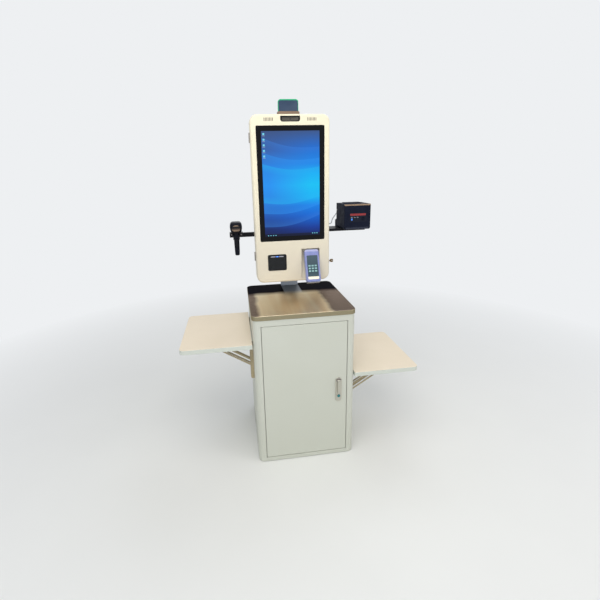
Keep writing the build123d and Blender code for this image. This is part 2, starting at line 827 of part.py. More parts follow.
# ---- key lock on the head's side ----
barrel_inner = head_side - 18
barrel = rod_x(key_y, key_z, key_barrel_radius, barrel_inner, head_side + 1)
barrel += rod_x(key_y, key_z, key_barrel_radius + 2.5, head_side, head_side + 3)
barrel -= rod_x(key_y, key_z, key_plug_radius + running_gap, barrel_inner - 1, head_side + 4)
key_cam_x1 = barrel_inner - 0.4
key_cam_x0 = key_cam_x1 - 3
plug = rod_x(key_y, key_z, key_plug_radius, key_cam_x0 - 1, head_side + 3.5)
key_blade = block(head_side + 3, head_side + 12, key_y - 1.1, key_y + 1.1, key_z - 3, key_z + 3)
key_bow = block(head_side + 10, head_side + 27, key_y - 1.1, key_y + 1.1, key_z - 9, key_z + 9)
key_bow = fillet(key_bow.edges().filter_by(Axis.Y), 5)
key_bow -= rod_y(head_side + 21, key_z, 2.5, key_y - 3, key_y + 3)
key_cam = along_x(Pos(key_y + 12, key_z) * SlotOverall(36, 11), key_cam_x0, key_cam_x1)
key_cam -= rod_x(key_y, key_z, key_plug_radius + 0.02, key_cam_x0 - 1, key_cam_x1 + 1)
parts["head_key"] = Compound(children=[plug + key_blade + key_bow, key_cam])

strike_z = key_z + 20
strike_x1 = head_side - 4.5
strike_x0 = strike_x1 - 2.5
strike = block(strike_x0, strike_x1, key_y - 14, housing_front + 14, strike_z - 6, strike_z + 6)
strike += block(key_cam_x0, strike_x1, key_y - 14, key_y - 11, strike_z - 6, strike_z + 6)
strike += block(
    strike_x1 - 1, head_side - housing_wall - 0.2, housing_front + 3, housing_front + 14,
    strike_z - 6, strike_z + 6,
)

# ---- lift-off hinges on the head's left side ----
barrel_radius = 3.2
hinge_axis_x = -head_side - barrel_radius - 0.2
hinge_axis_y = (cover_rear + housing_front) / 2
leaf_thickness = 1.2
lift_pin_radius = 1.6
knuckle = 24.0
lower_leaves = []
upper_leaves = []
for hinge_z in (1010, 1620):
    lower = rod_z(hinge_axis_x, hinge_axis_y, barrel_radius, hinge_z, hinge_z + knuckle)
    lower += block(
        -head_side - leaf_thickness, -head_side, housing_front + 0.5, housing_front + 15,
        hinge_z, hinge_z + knuckle,
    )
    lower += block(
        -head_side - leaf_thickness, -head_side - 0.4, hinge_axis_y, housing_front + 1,
        hinge_z, hinge_z + knuckle,
    )
    lower += rod_z(hinge_axis_x, hinge_axis_y, lift_pin_radius, hinge_z + 1, hinge_z + 2 * knuckle - 2)
    lower_leaves.append(lower)
    z0 = hinge_z + knuckle + 0.4
    upper = rod_z(hinge_axis_x, hinge_axis_y, barrel_radius, z0, z0 + knuckle)
    upper += block(
        -head_side - leaf_thickness, -head_side, cover_rear - 15, cover_rear - 0.5,
        z0, z0 + knuckle,
    )
    upper += block(
        -head_side - leaf_thickness, -head_side - 0.4, cover_rear - 1, hinge_axis_y,
        z0, z0 + knuckle,
    )
    upper -= rod_z(hinge_axis_x, hinge_axis_y, lift_pin_radius + running_gap, z0 - 1, z0 + knuckle - 1)
    upper_leaves.append(upper)
parts["housing_hardware"] = Compound(children=lower_leaves + [strike])
parts["cover_hardware"] = Compound(children=upper_leaves + [barrel])

# ---- status beacon ----
beacon_depth = 34.0
beacon_base = along_z(
    Pos(0, beacon_y) * RectangleRounded(beacon_base_width, beacon_depth, 6), head_top,
    head_top + beacon_base_height,
)
beacon_base = chamfer(top_edges(beacon_base), 4)
parts["beacon_base"] = beacon_base
lens_low = head_top + beacon_base_height


def beacon_outline(grow, height):
    outline = Pos(0, lens_low + height / 2) * Rectangle(beacon_width + 2 * grow, height)
    outline = fillet(outline.vertices().group_by(Axis.Y)[-1], 13 + grow)
    return outline


beacon_lens = along_y(beacon_outline(1.0, beacon_height), beacon_y - 7, beacon_y + 9)
parts["beacon_lens"] = fillet(rear_edges(beacon_lens), 3)
beacon_plate = along_y(
    beacon_outline(-2.0, beacon_plate_height), beacon_y - 9.5, beacon_y - 7,
)
parts["beacon_plate"] = fillet(front_edges(beacon_plate), 1)

# ---- cross bar ----
bar_bottom = bar_top - bar_height
bar_y0 = housing_rear
bar_y1 = bar_y0 + bar_depth
bar_profile = Pos((bar_y0 + bar_y1) / 2, (bar_bottom + bar_top) / 2) * RectangleRounded(
    bar_depth, bar_height, 3,
)
bar_hollow = Pos((bar_y0 + bar_y1) / 2, (bar_bottom + bar_top) / 2) * RectangleRounded(
    bar_depth - 2 * bar_wall, bar_height - 2 * bar_wall, 1.5
)
bar = along_x(bar_profile, bar_end, bar_inner_end) - along_x(bar_hollow, bar_end + 3, bar_inner_end + 1)
for x, z in bar_bolt_places:
    bar -= rod_y(x, z, 3 + running_gap, bar_y0 - 1, bar_y1 + 1)
parts["cross_bar"] = bar
bar_bolts = []
for x, z in bar_bolt_places:
    shank = rod_y(x, z, 3, housing_back_inner - 4, bar_y1 + 1)
    bar_bolts.append(shank + rod_y(x, z, 5.5, bar_y1, bar_y1 + 4))

# ---- hand scanner and its fork holder ----
fork_low = fork_top - fork_thickness
grip_rear = fork_y + grip_depth / 2
fork_slot = grip_width + 4
fork_front = fork_y - grip_depth / 2 - 6
fork_rear = grip_rear + 12
fork = block(
    fork_x - fork_width / 2, fork_x + fork_width / 2, fork_front, fork_rear, fork_low, fork_top,
)
fork = fillet(fork.edges().filter_by(Axis.Z), 6)
fork -= block(
    fork_x - fork_slot / 2, fork_x + fork_slot / 2, fork_front - 1, grip_rear + 2,
    fork_low - 1, fork_top + 1,
)
fork += block(
    fork_x - 17, fork_x + 17, grip_rear + 3, bar_y0 - seat_gap, bar_bottom + 3, fork_low + 1,
)
parts["scanner_holder"] = fork
fork_screws = []
for side in (-1, 1):
    screw_x = fork_x + side * (fork_slot / 2 + fork_width / 2) / 2
    fork_screws.append(rod_y(screw_x, (fork_low + fork_top) / 2, 3, fork_front - 1.5, fork_front))
parts["bolts_and_pins"] = Compound(
    children=[lower_pin, upper_pin] + post_bolts + bracket_bolts + bar_bolts + fork_screws
)

scanner_head_low = fork_top + seat_gap
scanner_flat = 2.0
scanner_head_z = scanner_head_low + scanner_head_height / 2 - scanner_flat
scanner_front = fork_y - grip_depth / 2 - 26
head_oval = Pos(fork_x, scanner_head_z) * Ellipse(scanner_head_width / 2, scanner_head_height / 2)
flat_foot = block(
    fork_x - fork_width, fork_x + fork_width,
    scanner_front - 1, scanner_front + scanner_head_length + 1,
    scanner_head_low - 5, scanner_head_low,
)
scanner_shell = along_y(head_oval, scanner_front, scanner_front + scanner_head_length)
scanner_shell = fillet(front_edges(scanner_shell) + rear_edges(scanner_shell), 11)
scanner_shell -= flat_foot
grip = along_z(
    Pos(fork_x, fork_y) * RectangleRounded(grip_width, grip_depth, 11), grip_bottom,
    scanner_head_low + 14,
)
grip = fillet(grip.faces().sort_by(Axis.Z)[0].edges(), 5)
scanner_shell += grip
trigger_z0 = 1108.0
trigger_z1 = 1150.0
trigger_width = 15.0
grip_front = fork_y - grip_depth / 2
trigger_back = grip_front + 5
scanner_shell -= block(
    fork_x - trigger_width / 2 - 0.4, fork_x + trigger_width / 2 + 0.4, grip_front - 5,
    trigger_back + trigger_travel + 0.5, trigger_z0 - 0.4, trigger_z1 + 0.4,
)
window_width = 44.0
window_height = 34.0
window_oval = Ellipse(window_width / 2, window_height / 2)
window_cut = along_y(Pos(fork_x, scanner_head_z) * window_oval, scanner_front - 1, scanner_front + 6)
scanner_shell -= window_cut
parts["scanner_body"] = scanner_shell
window = along_y(
    Pos(fork_x, scanner_head_z) * Ellipse(window_width / 2 - 0.2, window_height / 2 - 0.2),
    scanner_front + 2.5, scanner_front + 6,
)
parts["scanner_window"] = window
trigger = block(
    fork_x - trigger_width / 2, fork_x + trigger_width / 2,
    grip_front - trigger_travel - 1, trigger_back,
    trigger_z0, trigger_z1,
)
trigger = fillet(front_edges(trigger), 3)
parts["scanner_trigger"] = trigger

# ---- printer tray and receipt printer ----
tray_top = bar_top + tray_sheet
printer_left = printer_x - printer_width / 2
printer_right = printer_x + printer_width / 2
printer_rear = printer_front + printer_depth
printer_bottom = tray_top
printer_top = printer_bottom + printer_height
lid_bottom = printer_top - lid_height
tray_front = bar_y0 - 24
tray_left = head_side - 42
tray = block(
    tray_left, printer_right - 6, bar_y0 + 0.5, printer_rear + tail_depth - 8, bar_top, tray_top,
)
tray += block(head_side + 2, printer_right - 6, tray_front, bar_y0 + 1, bar_top, tray_top)
tray += block(
    head_side + 2, printer_right - 6, tray_front, tray_front + tray_sheet,
    tray_top - tray_flange, tray_top,
)
parts["printer_tray"] = tray

upper = block(printer_left, printer_right, printer_front, printer_rear, printer_bottom, lid_bottom)
upper = fillet(upper.edges().filter_by(Axis.Y).group_by(Axis.Z)[0], 10)
upper = fillet(upper.edges().filter_by(Axis.Z), 5)
tail = block(
    printer_left + 1, printer_right - 1, printer_rear - 8, printer_rear + tail_depth, printer_bottom,
    printer_bottom + tail_height,
)
tail = fillet(
    tail.edges().filter_by(Axis.Y).group_by(Axis.Z)[-1] + rear_edges(tail).group_by(Axis.Z)[-1], 8,
)
printer = upper + tail
roll_y = printer_front + 78
bay_half = roll_width / 2 + 1.5
bay_floor = printer_bottom + 14
roll_z = bay_floor + roll_radius + 0.4
printer -= block(
    printer_x - bay_half, printer_x + bay_half, roll_y - roll_radius - 3, roll_y + roll_radius + 3,
    bay_floor, lid_bottom + 1,
)
button_x = printer_x + 30.5
button_z = 1220.0
printer -= rod_y(
    button_x, button_z, feed_button_radius + 0.25,
    printer_front - 1, printer_front + feed_button_travel + 2.5,
)
# The front's clear strip is let in below the lid.
strip_x0 = printer_x - 42
strip_x1 = printer_x + 46
printer -= block(strip_x0, strip_x1, printer_front - 1, printer_front + 1.2, 1237, 1249)
port_x = printer_left + 58
port_z = printer_bottom + 72
port_y = printer_rear
printer -= block(port_x - 6.5, port_x + 6.5, port_y - 10, port_y + 1, port_z - 4, port_z + 4)
lid_hinge_y = printer_rear - 9
lid_hinge_z = lid_bottom + 7
# The rear edge is stepped down so that the lid's rear wall can swing under its hinge.
printer -= block(
    printer_left - 1, printer_right + 1, lid_hinge_y - 6, printer_rear + 1,
    lid_bottom - 4, lid_bottom + 1,
)
for side in (-1, 1):
    lug_x = printer_x + side * (printer_width / 2 - 18)
    lug = block(lug_x - 5, lug_x + 5, lid_hinge_y - 5, lid_hinge_y + 5, lid_bottom - 6, lid_hinge_z)
    lug += rod_x(lid_hinge_y, lid_hinge_z, 5, lug_x - 5, lug_x + 5)
    printer += lug - rod_x(lid_hinge_y, lid_hinge_z, 2.1, lug_x - 6, lug_x + 6)
parts["printer_body"] = printer

lid_seat = lid_bottom + seat_gap
lid = block(printer_left, printer_right, printer_front, printer_rear, lid_seat, printer_top)
lid = chamfer(top_edges(lid).filter_by(Axis.X).sort_by(Axis.Y)[0], 7)
lid = fillet(lid.edges().filter_by(Axis.Z), 5)
lid += along_z(
    Pos(printer_x, printer_rear - 58) * RectangleRounded(94, 70, 8), printer_top - 1,
    printer_top + 4,
)
# The lid is hollow, leaves a mouth for the paper, and clears the lugs at the rear.
lid -= block(
    printer_left + printer_wall, printer_right - printer_wall,
    printer_front + 20, printer_rear - printer_wall,
    lid_seat - 1, printer_top - printer_wall,
)
lid -= block(
    printer_x - 41, printer_x + 41, printer_front + 9, printer_front + 13,
    lid_seat - 1, printer_top + 1,
)
lid -= block(
    printer_left - 1, printer_right + 1, printer_rear - 4, printer_rear + 1,
    lid_seat - 1, lid_hinge_z - 1,
)
hinge_arm = 6.0
for side in (-1, 1):
    lug_x = printer_x + side * (printer_width / 2 - 18)
    arm_x = lug_x - side * (5 + 0.4 + hinge_arm / 2)
    ear = rod_x(lid_hinge_y, lid_hinge_z, 4.5, arm_x - hinge_arm / 2, arm_x + hinge_arm / 2)
    ear += block(
        arm_x - hinge_arm / 2, arm_x + hinge_arm / 2, lid_hinge_y - 4.5, lid_hinge_y + 3,
        lid_hinge_z, printer_top - 1,
    )
    lid += ear
    pin_x0 = min(arm_x, lug_x + side * 5)
    pin_x1 = max(arm_x, lug_x + side * 5)
    lid -= block(
        lug_x - 5.6, lug_x + 5.6, printer_rear - 4, printer_rear + 1, lid_seat - 1, lid_hinge_z + 9,
    )
    lid += rod_x(lid_hinge_y, lid_hinge_z, 2.0, pin_x0, pin_x1)
parts["printer_lid"] = lid

print_head = block(
    printer_x - bay_half - 6, printer_x + bay_half + 6, printer_front + 22, roll_y - roll_radius - 5,
    lid_bottom, lid_bottom + 9,
)
parts["print_head"] = fillet(top_edges(print_head), 1.5)
paper_roll = rod_x(roll_y, roll_z, roll_radius, printer_x - roll_width / 2, printer_x + roll_width / 2)
paper_roll -= rod_x(roll_y, roll_z, roll_bore, printer_x - roll_width, printer_x + roll_width)
parts["paper_roll"] = paper_roll
feed_button = rod_y(button_x, button_z, feed_button_radius, printer_front - 1, printer_front + 2)
parts["feed_button"] = fillet(front_edges(feed_button), 0.6)

# ---- printer lead: gland in the housing's side, plug in the printer's rear ----
lead_radius = 2.5
gland = rod_x(gland_y, gland_z, 5.0, head_side - 6, head_side + 1)
gland += rod_x(gland_y, gland_z, 7.0, head_side, head_side + 4)
gland += rod_x(gland_y, gland_z, 4.2, head_side + 3, head_side + 14)
gland -= rod_x(gland_y, gland_z, lead_radius, head_side - 7, head_side + 15)
parts["lead_gland"] = gland
plug_end = port_y + 20
plug_body = block(port_x - 6, port_x + 6, port_y - 8, port_y + 1, port_z - 3.5, port_z + 3.5)
plug_body += along_y(Pos(port_x, port_z) * RectangleRounded(17, 12, 4), port_y + 0.4, port_y + 13)
plug_body += rod_y(port_x, port_z, 4.2, port_y + 12, plug_end)
parts["lead_plug"] = plug_body
lead_points = [
    (head_side + 14, gland_y, gland_z),
    (head_side + 34, gland_y, gland_z),
    (251, 178, 1206),
    (278, 222, 1228),
    (298, 262, 1240),
    (328, 272, 1240),
    (port_x, plug_end + 24, port_z),
    (port_x, plug_end, port_z),
]


def lead_radii(points):
    radii = []
    for before, at, after in zip(points, points[1:], points[2:]):
        first = Vector(at) - Vector(before)
        second = Vector(after) - Vector(at)
        turn = radians(first.get_angle(second))
        radii.append(0.45 * min(first.length, second.length) / tan(turn / 2))
    return radii


radii = lead_radii(lead_points)
print("lead radii", [round(r, 1) for r in radii])
lead_path = FilletPolyline(*lead_points, radius=radii)
lead_start = Plane(origin=lead_points[0], z_dir=Vector(lead_points[1]) - Vector(lead_points[0]))
lead = sweep(lead_start * Circle(lead_radius), path=lead_path)
print("lead length", round(lead_path.length, 1), "volume", round(lead.volume), "expected",
      round(lead_path.length * pi * lead_radius**2))
parts["printer_lead"] = lead

# ---- side shelves on folding brackets ----
brace_length = sqrt(brace_pivot_drop**2 + brace_reach**2)
open_angle = degrees(asin(brace_pivot_drop / brace_length))
brace_half = rail_half_width - bracket_sheet - 1
rivet_inner = brace_half - bracket_sheet - 0.2
stay_half = rivet_inner - 0.3
stay_share = (brace_pivot_drop - stay_rise) / brace_pivot_drop
print("brace turn per shelf turn", round((open_angle + 90) / 90, 4))


def shelf_set(side, top):
    # side is -1 on the left and 1 on the right, and "out" is measured from the cabinet wall.
    def span(out0, out1):
        return sorted((side * (side_x + out0), side * (side_x + out1)))

    def slab(out0, out1, y0, y1, z0, z1):
        x0, x1 = span(out0, out1)
        return block(x0, x1, y0, y1, z0, z1)

    def at(out, z):
        return (side * (side_x + out), z)

    def bar_pair(centre, half, wall_z, share):
        # Two flat bars from the wall pin at wall_z, as long as that share of the brace.
        middle = at(pivot_out + brace_reach * share / 2, wall_z + brace_pivot_drop * share / 2)
        outline = Pos(*middle) * SlotOverall(
            brace_length * share + brace_height, brace_height, rotation=side * open_angle,
        )
        pair = None
        for hand in (-1, 1):
            y0, y1 = sorted((centre + hand * half, centre + hand * (half - bracket_sheet)))
            bar = along_y(outline, y0, y1)
            bar -= rod_y(*at(pivot_out, wall_z), pivot_radius + running_gap, y0 - 1, y1 + 1)
            pair = bar if pair is None else pair + bar
        return pair

    under = top - shelf_thickness
    pivot_z = under - pivot_drop
    brace_z = pivot_z - brace_pivot_drop
    stay_z = brace_z + stay_rise
    board = slab(
        shelf_wall_gap, shelf_wall_gap + shelf_reach, shelf_middle_y - shelf_depth / 2,
        shelf_middle_y + shelf_depth / 2, under, top,
    )
    outer_corners = board.edges().filter_by(Axis.Z).sort_by(Axis.X)
    outer_corners = outer_corners[:2] if side < 0 else outer_corners[-2:]
    board = fillet(outer_corners, shelf_corner)
    board = fillet(top_edges(board), 1.5)
    rails = []
    arms = []
    braces = []
    stays = []
    for centre in (-bracket_y, bracket_y):
        # Wall rail: a web on the cabinet and two flanges that hold both fixed pins.
        rail_top = pivot_z + 7
        rail_bottom = rail_top - rail_length
        rail = slab(
            0, bracket_sheet, centre - rail_half_width, centre + rail_half_width,
            rail_bottom, rail_top,
        )
        flange_out = pivot_out + 7.5
        for hand in (-1, 1):
            y_outer = centre + hand * rail_half_width
            y_inner = y_outer - hand * bracket_sheet
            flange = slab(
                0, flange_out, min(y_outer, y_inner), max(y_outer, y_inner), rail_bottom, rail_top,
            )
            outer_x = side * (side_x + flange_out)
            along = flange.edges().filter_by(Axis.Y)
            corners = [e for e in along if abs(e.center().X - outer_x) < 0.01]
            rail += fillet(corners, 7)
        rail -= rod_y(*at(pivot_out, pivot_z), pivot_radius + running_gap, centre - 30, centre + 30)
        for screw_z in (rail_bottom + 30, rail_bottom + 62, rail_top - 25):
            rail += rod_x(centre, screw_z, 5, *span(bracket_sheet - 0.2, bracket_sheet + 2.5))
        # The braces turn on short rivets, so that the stays can pass between them.
        for hand in (-1, 1):
            y0, y1 = sorted((centre + hand * rivet_inner, centre + hand * rail_half_width))
            rail += rod_y(*at(pivot_out, brace_z), pivot_radius, y0, y1)
        stay_pin = rod_y(
            *at(pivot_out, stay_z), pivot_radius, centre - rail_half_width, centre + rail_half_width,
        )
        rails.append(rail + stay_pin)
        # Arm under the board: an open-bottomed channel that closes over the rail.
        outer_half = rail_half_width + 1 + bracket_sheet
        arm = slab(
            shelf_wall_gap, shelf_wall_gap + arm_length, centre - outer_half, centre + outer_half,
            under - arm_height, under,
        )
        arm -= slab(
            0, shelf_wall_gap + arm_length + 5, centre - outer_half + bracket_sheet,
            centre + outer_half - bracket_sheet, under - arm_height - 1, under - bracket_sheet,
        )
        arm += rod_y(*at(pivot_out, pivot_z), pivot_radius, centre - outer_half, centre + outer_half)
        arms.append(arm)
        # Brace and stay: parallel pairs of bars, each with a cross pin at its outer end. The
        # stay turns on the upper wall pin, between the bars of the brace.
        brace = bar_pair(centre, brace_half, brace_z, 1)
        tip = at(pivot_out + brace_reach, pivot_z)
        brace += rod_y(*tip, cross_pin_radius, centre - rail_half_width, centre + rail_half_width)
        near_tip = at(
            pivot_out + brace_reach * brace_link_share, brace_z + brace_pivot_drop * brace_link_share,
        )
        brace += rod_y(*near_tip, cross_pin_radius, centre - brace_half, centre + brace_half)
        braces.append(brace)
        stay = bar_pair(centre, stay_half, stay_z, stay_share)
        stay_tip = at(pivot_out + brace_reach * stay_share, pivot_z)
        stay += rod_y(*stay_tip, cross_pin_radius, centre - stay_half, centre + stay_half)
        stays.append(stay)
    return board, rails, arms, braces, stays


shelf_rails = []
for name, side, top in (("left", -1, left_shelf_top), ("right", 1, right_shelf_top)):
    board, rails, arms, braces, stays = shelf_set(side, top)
    parts[f"shelf_board_{name}"] = board
    shelf_rails += rails
    parts[f"shelf_arms_{name}"] = Compound(children=arms)
    parts[f"shelf_braces_{name}"] = Compound(children=braces)
    parts[f"shelf_stays_{name}"] = Compound(children=stays)

parts["shelf_rails"] = Compound(children=shelf_rails)

os.makedirs("parts", exist_ok=True)
for name, shape in parts.items():
    export_step(shape, f"parts/{name}.step")
print(len(parts), "parts written")
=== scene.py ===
import bpy
import bmesh
import math
from mathutils import Matrix, Vector


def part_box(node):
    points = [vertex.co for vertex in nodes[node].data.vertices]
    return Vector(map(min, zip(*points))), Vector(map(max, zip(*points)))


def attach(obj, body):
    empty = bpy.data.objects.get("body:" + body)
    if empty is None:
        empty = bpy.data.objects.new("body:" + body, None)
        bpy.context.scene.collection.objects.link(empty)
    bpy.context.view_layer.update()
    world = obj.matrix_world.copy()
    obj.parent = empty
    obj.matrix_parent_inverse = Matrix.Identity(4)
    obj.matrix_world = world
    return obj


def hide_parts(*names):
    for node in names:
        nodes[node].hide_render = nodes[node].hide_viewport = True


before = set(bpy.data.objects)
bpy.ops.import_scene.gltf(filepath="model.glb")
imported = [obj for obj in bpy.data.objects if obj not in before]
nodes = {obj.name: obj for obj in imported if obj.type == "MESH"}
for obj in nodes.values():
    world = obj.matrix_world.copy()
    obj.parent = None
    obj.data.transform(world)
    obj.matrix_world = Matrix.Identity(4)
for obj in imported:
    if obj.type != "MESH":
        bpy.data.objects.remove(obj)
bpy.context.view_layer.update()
print("frame loaded:", len(nodes), "nodes")

mm = 0.001


# The printer's lead: a thin round cable from the gland on the rear housing to the plug.
lead = {
    "radius": 2.5 * mm,
    "length": 0.250,  # of the real lead; the smooth curve inside these points is 0.238 long
    "points": [
        (0.216, 0.121, 1.192), (0.231, 0.122, 1.192), (0.246, 0.172, 1.211),
        (0.278, 0.222, 1.228), (0.298, 0.260, 1.239), (0.328, 0.270, 1.240),
        (0.341, 0.258, 1.235), (0.341, 0.236, 1.235),
    ],
}


def makeLead():
    curve = bpy.data.curves.new("printerCable", "CURVE")
    curve.dimensions = "3D"
    curve.bevel_depth = 1  # each point's own radius sets the thickness
    curve.bevel_resolution = 6
    curve.resolution_u = 16
    curve.use_fill_caps = True
    spline = curve.splines.new("NURBS")
    spline.points.add(len(lead["points"]) - 1)
    for point, place in zip(spline.points, lead["points"]):
        point.co = (*place, 1)
        point.radius = lead["radius"]
    spline.order_u = 3
    spline.use_endpoint_u = True
    cable = bpy.data.objects.new("printerCable", curve)
    bpy.context.scene.collection.objects.link(cable)
    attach(cable, "root")
    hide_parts("printer_lead")
    return cable


# Camera at a standing person's eye height, a little left of the kiosk.
camera = {
    "place": (-0.3052, -1.9012, 1.4447),
    "turn": 7.587,
    "lookDown": 15.602,
    "roll": -1.614,
    "lens": 22.21,
    "shift": (0.0235, -0.0313),
}


def makeCamera():
    turn = math.radians(camera["turn"])
    down = math.radians(camera["lookDown"])
    roll = math.radians(camera["roll"])
    gaze = Vector((
        math.sin(turn) * math.cos(down), math.cos(turn) * math.cos(down), -math.sin(down),
    ))
    level = Vector((math.cos(turn), -math.sin(turn), 0))
    above = level.cross(gaze)
    right = math.cos(roll) * level + math.sin(roll) * above
    up = math.cos(roll) * above - math.sin(roll) * level
    data = bpy.data.cameras.new("standingView")
    data.lens = camera["lens"]
    data.shift_x, data.shift_y = camera["shift"]
    data.clip_start = 0.05
    view = bpy.data.objects.new("standingView", data)
    turnMatrix = Matrix((right, up, -gaze)).transposed()
    view.matrix_world = Matrix.Translation(camera["place"]) @ turnMatrix.to_4x4()
    bpy.context.scene.collection.objects.link(view)
    bpy.context.scene.camera = view


makeCamera()
cable = makeLead()
print("camera and lead made")


# Materials. Each starts from what the real surface is and how it was made.
def hexColour(text, alpha=1.0):
    parts = [int(text[i:i + 2], 16) / 255 for i in (1, 3, 5)]
    return (*[p / 12.92 if p <= 0.04045 else ((p + 0.055) / 1.055) ** 2.4 for p in parts], alpha)


def addNode(material, kind, settings=None, values=None, links=None):
    node = material.node_tree.nodes.new(kind)
    for key, value in (settings or {}).items():
        setattr(node, key, value)
    for key, value in (values or {}).items():
        node.inputs[key].default_value = value
    for key, socket in (links or {}).items():
        material.node_tree.links.new(socket, node.inputs[key])
    return node


def newMaterial(name, colour, roughness, metallic=0.0, **extra):
    material = bpy.data.materials.new(name)
    material.use_nodes = True
    material.node_tree.nodes.clear()
    shader = addNode(material, "ShaderNodeBsdfPrincipled", values={
        "Base Color": hexColour(colour), "Roughness": roughness, "Metallic": metallic, **extra,
    })
    addNode(material, "ShaderNodeOutputMaterial", links={"Surface": shader.outputs[0]})
    place = addNode(material, "ShaderNodeTexCoord")
    return material, shader, place.outputs["Object"]


def link(material, socketFrom, shader, key):
    material.node_tree.links.new(socketFrom, shader.inputs[key])


def grain(material, place, size, detail=2.0, stretch=(1, 1, 1)):
    # noise whose blotches are about `size` metres across, drawn out along an axis by `stretch`
    mapping = addNode(
        material, "ShaderNodeMapping", values={"Scale": stretch}, links={"Vector": place},
    )
    return addNode(
        material, "ShaderNodeTexNoise", values={"Scale": 1 / size, "Detail": detail},
        links={"Vector": mapping.outputs[0]},
    ).outputs["Fac"]


def axesOf(material, vector):
    return addNode(material, "ShaderNodeSeparateXYZ", links={0: vector}).outputs


def facing(material, kind="Normal"):
    # which way a face points, along the world's axes, so the answer changes as its piece turns
    return axesOf(material, addNode(material, "ShaderNodeNewGeometry").outputs[kind])


def spread(material, value, low, high, fromLow=0.3, fromHigh=0.7):
    return addNode(
        material, "ShaderNodeMapRange",
        values={"From Min": fromLow, "From Max": fromHigh, "To Min": low, "To Max": high},
        links={"Value": value},
    ).outputs[0]


def mixColours(material, factor, first, second):
    mix = addNode(material, "ShaderNodeMix", settings={"data_type": "RGBA"}, links={0: factor})
    for index, side in ((6, first), (7, second)):
        if isinstance(side, str):
            mix.inputs[index].default_value = hexColour(side)
        else:
            material.node_tree.links.new(side, mix.inputs[index])
    return mix.outputs[2]


def calculate(material, kind, first, second):
    node = addNode(material, "ShaderNodeMath", settings={"operation": kind})
    for index, side in ((0, first), (1, second)):
        if isinstance(side, (int, float)):
            node.inputs[index].default_value = side
        else:
            material.node_tree.links.new(side, node.inputs[index])
    return node.outputs[0]


def shadeBy(material, value, first, second):
    return mixColours(material, spread(material, value, 0, 1), first, second)


def times(material, first, second):
    return calculate(material, "MULTIPLY", first, second)


def paint(material, shader, colour):
    link(material, colour, shader, "Base Color")


def roughen(material, shader, value, low, high):
    link(material, spread(material, value, low, high), shader, "Roughness")


def surface(material, shader, height, strength, depth, edge=0.0):
    # a bump over edges that are rounded by `edge` metres, as sheet and mouldings are
    links = {"Height": height}
    if edge:
        rounded = addNode(
            material, "ShaderNodeBevel", settings={"samples": 4}, values={"Radius": edge},
        )
        links["Normal"] = rounded.outputs[0]
    bump = addNode(
        material, "ShaderNodeBump", values={"Strength": strength, "Distance": depth}, links=links,
    )
    link(material, bump.outputs[0], shader, "Normal")


def edgeWear(material, edge):
    # how far the rounded edge turns from the flat face: 0 on a face, 1 on a worn edge
    rounded = addNode(
        material, "ShaderNodeBevel", settings={"samples": 4}, values={"Radius": edge},
    )
    flat = addNode(material, "ShaderNodeNewGeometry")
    turned = addNode(
        material, "ShaderNodeVectorMath", settings={"operation": "DOT_PRODUCT"},
        links={0: rounded.outputs[0], 1: flat.outputs["Normal"]},
    )
    return spread(material, turned.outputs["Value"], 1, 0, 0.86, 0.99)


def centreOn(material, place, middle):
    centred = addNode(
        material, "ShaderNodeVectorMath", settings={"operation": "SUBTRACT"}, links={0: place},
    )
    centred.inputs[1].default_value = middle
    return centred.outputs[0]


def byHeight(material, place, low, high):
    # 1 at the height `low`, fading to 0 at `high`
    return spread(material, axesOf(material, place)["Z"], 1, 0, low, high)


def powderCoat(name, colour, shade, roughness=0.42, wearColour="#d8d9d2", shine=0.5, foot=None):
    # polyester powder coat on folded sheet: a fine orange peel, softly glossy, chalky at edges;
    # `foot` is painted shade: the darker colour given further down, and the heights that it fades
    # between
    material, shader, place = newMaterial(
        name, colour, roughness, **{"Specular IOR Level": shine},
    )
    cloud = grain(material, place, 0.22, 3)
    toned = shadeBy(material, cloud, colour, shade)
    if foot:
        # painted shade: the colour darkens towards the bottom
        shadeBelow, low, high = foot
        toned = mixColours(material, byHeight(material, place, low, high), toned, shadeBelow)
    worn = edgeWear(material, 1.2 * mm)
    rubbed = times(material, worn, grain(material, place, 0.01))
    paint(material, shader, mixColours(material, rubbed, toned, wearColour))
    rub = grain(material, place, 0.05, 4)
    roughen(material, shader, rub, roughness - 0.05, roughness + 0.07)
    # the peel of powder is about 1 mm across
    surface(material, shader, grain(material, place, 1.1 * mm), 0.12, 0.1 * mm, 0.8 * mm)
    return material


bevelLean = 0.4  # a face counts as a bevel when it points this much both forward and up


def mouldedPlastic(
    name, colour, shade, roughness=0.45, sparkMm=0.6, bump=0.25, shine=0.5, paintedSheen=None,
):
    # injection moulded ABS with an eroded texture: soft broad highlights and rounded edges;
    # the optional sheen colour is a painted reflection, a tan tone on a bevel that leans forward and
    # up
    material, shader, place = newMaterial(
        name, colour, roughness, **{"Specular IOR Level": shine},
    )
    cloud = grain(material, place, 0.05, 3)
    toned = shadeBy(material, cloud, colour, shade)
    # painted reflection on bevels that lean forward and up
    if paintedSheen:
        axes = facing(material, "True Normal")
        forward = calculate(material, "LESS_THAN", axes["Y"], -bevelLean)
        upward = calculate(material, "GREATER_THAN", axes["Z"], bevelLean)
        leaning = times(material, forward, upward)
        toned = mixColours(material, leaning, toned, paintedSheen)
    paint(material, shader, toned)
    handled = grain(material, place, 0.03, 4)
    roughen(material, shader, handled, roughness - 0.06, roughness + 0.1)
    surface(material, shader, grain(material, place, sparkMm * mm), bump, 0.06 * mm, 0.5 * mm)
    return material


def glossPlastic(name, colour, roughness=0.12):
    # polished polycarbonate or acrylic: sharp reflections with faint wipe marks
    material, shader, place = newMaterial(name, colour, roughness, **{"Coat Weight": 0.5})
    wiped = grain(material, place, 0.02, 5, (1, 1, 0.25))
    roughen(material, shader, wiped, roughness - 0.04, roughness + 0.08)
    surface(material, shader, grain(material, place, 0.03), 0.03, 0.1 * mm, 0.4 * mm)
    return material
